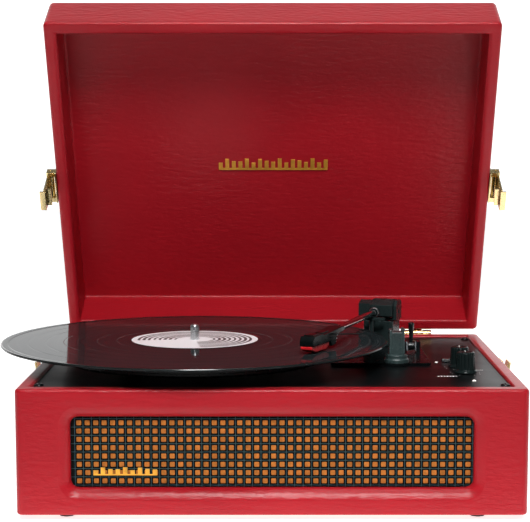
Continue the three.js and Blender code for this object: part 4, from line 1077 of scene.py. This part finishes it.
def build_tonearm():
    refined("tonearm_base", "arm_plastic", 0.7, 3, "black_plastic")
    refined("tonearm_yoke", "arm_plastic", 0.6, 3, "black_plastic")

    # Arm block with a ridged top, in the arm's own frame: outline of Y and Z.
    bm = bmesh.new()
    foot, shoulder, top = 115.9, 126.5, 130
    outline = [(-13, foot + 1.2), (-11.8, foot), (4.5, foot), (8, foot + 3.5), (8, shoulder), (4, top),
               (-3.5, top), (-13, shoulder - 0.3)]
    prism(bm, outline, -4.7, 14.6, "X", 0.45, 3)
    block(bm, -3.2, 13.2, -2.2, 3.2, top - 0.2, top + 0.15, 0.15, 2)
    piece("arm_block_body", bm, "arm_plastic", "tonearm", "black_plastic", ("arm_block",), ARM)

    # Collar, its bright ring and the tube: profiles of radius and way along the arm.
    along = ARM @ Matrix.Translation((0, 0, PIVOT.z)) @ Matrix.Rotation(rad(90), 4, "X")
    centre = Vector((0, 0))
    collar = [(2.75, 16.5), (3.4, 16.5), (3.9, 16.2), (4.3, 15.6), (4.3, 14.6), (4.0, 14.2), (4.3, 13.8),
              (4.3, 12.6), (2.75, 12.6), (2.75, 16.5)]
    turned("arm_collar", collar, centre, 48, "arm_plastic", "tonearm", "black_plastic", matrix=along)
    ring = [(3.3, 16.7), (3.8, 16.75), (4.15, 16.4), (4.35, 15.9), (4.2, 15.7), (3.3, 16.2), (3.3, 16.7)]
    turned("arm_collar_ring", ring, centre, 48, "steel", "tonearm", "black_plastic", matrix=along)
    bore, radius, start = 2.0, 2.6, 13.8
    tube = [(bore, ARM_LENGTH), (radius - 0.2, ARM_LENGTH), (radius, ARM_LENGTH - 0.3), (radius, start),
            (bore, start), (bore, ARM_LENGTH)]
    turned("arm_tube_chrome", tube, centre, 40, "chrome", "tonearm", "chrome", ("arm_tube",),
           matrix=along, sharp=50)
    build_headshell()


def build_headshell():
    """In the headshell's own frame, where its outlines are of Y and Z."""
    # The thin rear, the step behind the cartridge, the roof over it and its nose.
    bm = bmesh.new()
    outline = [(-1.5, 122.4), (-1.5, 119), (-17, 117.4), (-19, 110.5), (-27, 109.9), (-29.5, 113.9),
               (-63, 113.9), (-63, 118.2), (-60.6, 121.2), (-45.2, 121.6), (-43, 120.4), (-24, 121.2),
               (-8, 122.5)]
    prism(bm, outline, -5.6, 5.6, "X", 0.7, 3)
    block(bm, -3.9, 3.9, -59, -47, 121, 122, 0.35, 2)
    block(bm, -2.6, 2.6, -40, -26, 120.2, 121.6, 0.3, 2)
    piece("headshell_body", bm, "head_plastic", "tonearm", "black_plastic", ("headshell",), HEAD)

    # Contact pins behind the cartridge, where the arm's fine wires end, coloured near white as a painted
    # highlight for their glints.
    bm = bmesh.new()
    for k in range(3):
        block(bm, 3.4, 4.4, -18.6 - 0.4 * k, -12.5 - 1.5 * k, 116.2 - 2.2 * k, 117 - 2.2 * k, 0.2, 2)
    piece("cartridge_pin_glints", bm, "pin_glint_white", "tonearm", "steel", (), HEAD)

    # Finger lift: a thin bar that widens and turns up at its tip.
    bm = bmesh.new()
    place = HEAD @ Matrix.Translation((13.5, -16, 118.4)) @ Matrix.Rotation(rad(33), 4, "Z")
    loops = []
    count = 14
    thick = 0.55
    for s in range(count + 1):
        t = s / count
        x = -12 + 24 * t
        width = 0.95 + 0.35 * t + 0.25 * math.sin(math.pi * t)
        rise = 0.9 * max(0, t - 0.75) ** 2 * 16 / 1.2
        loops.append([(x, width * a, rise + thick * b) for a, b in circle(1, 12)])
    skin(bm, loops)
    piece("finger_lift", bm, "head_plastic", "tonearm", "black_plastic", (), place, sharp=50)

    bm = bmesh.new()
    outline = [(-30, 113.6), (-63.5, 113.6), (-63.5, 111.5), (-56, 109.05), (-36, 109.05), (-30, 111.4)]
    prism(bm, outline, -4.6, 4.6, "X", 0.6, 3)
    piece("cartridge_body", bm, "red_plastic", "tonearm", "red_plastic", ("cartridge",), HEAD)

    tip = span("stylus")[0].z
    root = 108.8
    cone = [(0, tip), (0.12, tip + 0.05), (0.3, tip + 0.12), (0.7, root - 0.1), (0.75, root), (0, root)]
    turned("stylus_tip", cone, Vector((0, -53)), 20, "steel", "tonearm", "steel", ("stylus",), HEAD)


# ---- latches, hinges
def build_brass():
    for side in ("left", "right"):
        for part, bevel in (("plate", 0.35), ("hasp", 0.3), ("catch", 0.3)):
            refined(f"latch_{part}_{side}", "brass", bevel, 3, "brass")
        for part in ("base", "lid"):
            refined(f"hinge_{part}_{side}", "brass", 0.3, 2, "brass", sharp=30)
    refined("handle_plate", "brass", 0.45, 3, "brass")
    refined("grille_badge", "gold", 0.12, 2, "brass")
    refined("lid_badge", "gold", 0.15, 2, "brass")
    refined("pulley", "brass", 0.15, 2, "brass", sharp=30)
    build_rivets()


LATCH_FORWARD = 146.5  # latch centre, forward of the hinge


def rivets(name, places, body, reach, height):
    """Domed brass rivets, one at each place."""
    profile = [(0, 0), (reach, 0), (reach, 0.2), (reach * 0.85, height * 0.65), (reach * 0.5, height * 0.95),
               (0, height)]
    bm = bmesh.new()
    for place in places:
        part = bmesh.new()
        lathe(part, profile, 0, 0, 20)
        merge(bm, part, place)
    piece(name, bm, "brass", body, "brass")


def build_rivets():
    """Rivets that hold the brass to the leatherette."""
    half = BASE_HIGH.x
    back = Matrix.Rotation(rad(-90), 4, "X")
    for side, s in (("left", -1), ("right", 1)):
        out = Matrix.Rotation(rad(90 * s), 4, "Y")
        places = [
            LID @ Matrix.Translation((s * (half + 1.5), -LATCH_FORWARD + dy, z)) @ out
            for dy in (-9, 9) for z in (17, 25.5)
        ]
        rivets(f"latch_rivets_{side}", places, "lid", 1.5, 0.7)
        at = middle(f"latch_catch_{side}")
        z = span(f"latch_catch_{side}")[0].z + 4
        places = [Matrix.Translation((s * (half + 1.4), at.y + dy, z)) @ out for dy in (-6, 6)]
        rivets(f"catch_rivets_{side}", places, "case", 1.2, 0.5)
        x = middle(f"hinge_base_{side}").x
        y, z = BASE_HIGH.y + 1.2, BASE_HIGH.z - 15
        places = [Matrix.Translation((x + dx, y, z)) @ back for dx in (-8, 0, 8)]
        rivets(f"hinge_rivets_base_{side}", places, "case", 1.3, 0.55)
        places = [LID @ Matrix.Translation((x + dx, -2.0, 15)) @ back for dx in (-8, 0, 8)]
        rivets(f"hinge_rivets_lid_{side}", places, "lid", 1.3, 0.55)


def merge(bm, part, place):
    """Copies one small mesh into another, moved into place."""
    bmesh.ops.transform(part, matrix=place, verts=part.verts)
    made = {v: bm.verts.new(v.co) for v in part.verts}
    for face in part.faces:
        bm.faces.new([made[v] for v in face.verts])
    part.free()


# ---- handle
HANDLE_HALF = 57
HANDLE_BEND = 7
STITCHES = 22


def handle_path(y, grip_z, arm_top):
    """Up one arm, round a bend, along the grip and down again."""
    arm = [(-HANDLE_HALF, y, arm_top), (-HANDLE_HALF, y, grip_z + HANDLE_BEND)]
    for k in range(1, 8):
        a = rad(90 * k / 8)
        x = HANDLE_HALF - HANDLE_BEND * (1 - math.cos(a))
        arm.append((-x, y, grip_z + HANDLE_BEND * (1 - math.sin(a))))
    steps = 24
    reach = HANDLE_HALF - HANDLE_BEND
    grip = [(-reach + 2 * reach * k / steps, y, grip_z) for k in range(steps + 1)]
    return arm + grip + [(-x, y, z) for x, y, z in reversed(arm)]


def build_handle():
    """A leather grip, rounded and stitched, on two leather-covered arms."""
    pivot = joint_at["handle_pivot"]
    grip_z = span("carry_handle")[0].z + 5
    path = handle_path(pivot.y, grip_z, pivot.z + 3)
    last = len(path) - 1
    outward = Vector((0, 1, 0))
    loops = []
    for i, point in enumerate(path):
        here = Vector(point)
        ahead = Vector(path[min(i + 1, last)]) - Vector(path[max(i - 1, 0)])
        side = ahead.normalized().cross(outward).normalized()
        swell = 1 - 0.28 * abs(here.x / HANDLE_HALF) ** 3 if here.z < grip_z + 1 else 0.72
        a_reach, b_reach = (2.6, 2.6) if i in (0, last) else (4.9 * swell, 4.6 * swell)
        loops.append([here + side * a_reach * a + outward * b_reach * b for a, b in circle(1, 20)])
    bm = bmesh.new()
    skin(bm, loops)
    pin = [(pivot.y + a, pivot.z + b) for a, b in circle(1.8, 18)]
    for s in (-1, 1):
        x0, x1 = sorted((s * (HANDLE_HALF - 1), s * 64))
        prism(bm, pin, x0, x1, "X", 0.2, 1)
    piece("handle_leather", bm, "leatherette", "handle", "leatherette", ("carry_handle",), sharp=50)

    # Two rows of stitches along the grip's outer side.
    bm = bmesh.new()
    seam = HANDLE_HALF - 12
    y = pivot.y + 4.35
    for side in (-1, 1):
        z = grip_z + side * 1.6
        for k in range(STITCHES):
            x = -seam + 2 * seam * (k + 0.5) / STITCHES
            block(bm, x - 1.3, x + 1.3, y - 0.2, y + 0.45, z - 0.28, z + 0.28, 0.2, 2)
    piece("handle_stitches", bm, "leatherette", "handle", "leatherette")


# ---- rear, under, inside
def build_rear():
    refined("jack_panel", "plastic", 0.35, 2, "black_plastic")
    refined("dc_socket", "plastic", 0.3, 2, "black_plastic", sharp=30)
    refined("rca_sockets", "steel", 0.25, 2, "steel", sharp=30)


def build_underside():
    for node in ["foot_" + corner for corner in CORNER_NAMES]:
        low, high = span(node)
        reach = (high.x - low.x) / 2
        profile = [(0, high.z), (reach - 0.3, high.z), (reach, high.z - 0.6), (reach - 0.5, low.z + 0.8),
                   (reach - 1.1, low.z + 0.1), (reach - 1.6, low.z), (3.4, low.z), (3.0, low.z + 0.3),
                   (2.6, low.z + 1.6), (0, low.z + 1.6)]
        turned(node + "_moulded", profile, middle(node), 48, "rubber", "case", "rubber", (node,))
    refined("bottom_panel", "board", 0.6, 2, "board")
    refined("rating_plate", "plastic", 0.2, 2, "black_plastic")
    bm = bmesh.new()
    low, high = span("bottom_panel")
    inset = 12
    screw = [(0, 0), (3.2, 0), (2.8, 0.7), (1.5, 1.2), (0.9, 0.6), (0, 0.5)]
    for x in (low.x + inset, 0, high.x - inset):
        for y in (low.y + inset, high.y - inset):
            part = bmesh.new()
            lathe(part, screw, 0, 0, 24)
            merge(bm, part, Matrix.Translation((x, y, 0.05)) @ Matrix.Rotation(math.pi, 4, "X"))
    piece("bottom_screws", bm, "steel", "case", "steel")


def build_inside():
    refined("speaker_baffle", "board", 0.3, 1, "board")
    for side in ("left", "right"):
        refined(f"speaker_{side}", "cone", 0.4, 2, "black_metal", sharp=30)
    refined("bearing", "steel", 0.3, 2, "steel", sharp=30)
    refined("motor", "steel", 0.5, 2, "steel", sharp=30)
    for board in ("circuit_board", "control_board"):
        refined(board, "circuit", 0.2, 1, "circuit")
    refined("belt", "rubber", 0.15, 1, "rubber", sharp=30)
    refined("top_plate", "plate", 0.35, 2, "black_metal")


# ---- floor
def build_floor():
    bm = bmesh.new()
    reach = 4000
    steps = 8
    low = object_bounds()[0][2] / MM
    grid(bm, steps, steps, lambda i, k: (reach * (2 * i / steps - 1), reach * (2 * k / steps - 1), low))
    piece("floor", bm, "floor", None)


camera_and_light()
build_floor()
build_base()
build_lid()
build_grille()
build_platter()
build_record()
build_knob("volume_knob", "volume_knob")
build_knob("pitch_knob", "pitch_knob")
build_print()
build_small_controls()
build_deck()
build_cue_lever()
build_tonearm()
build_brass()
build_handle()
build_rear()
build_underside()
build_inside()
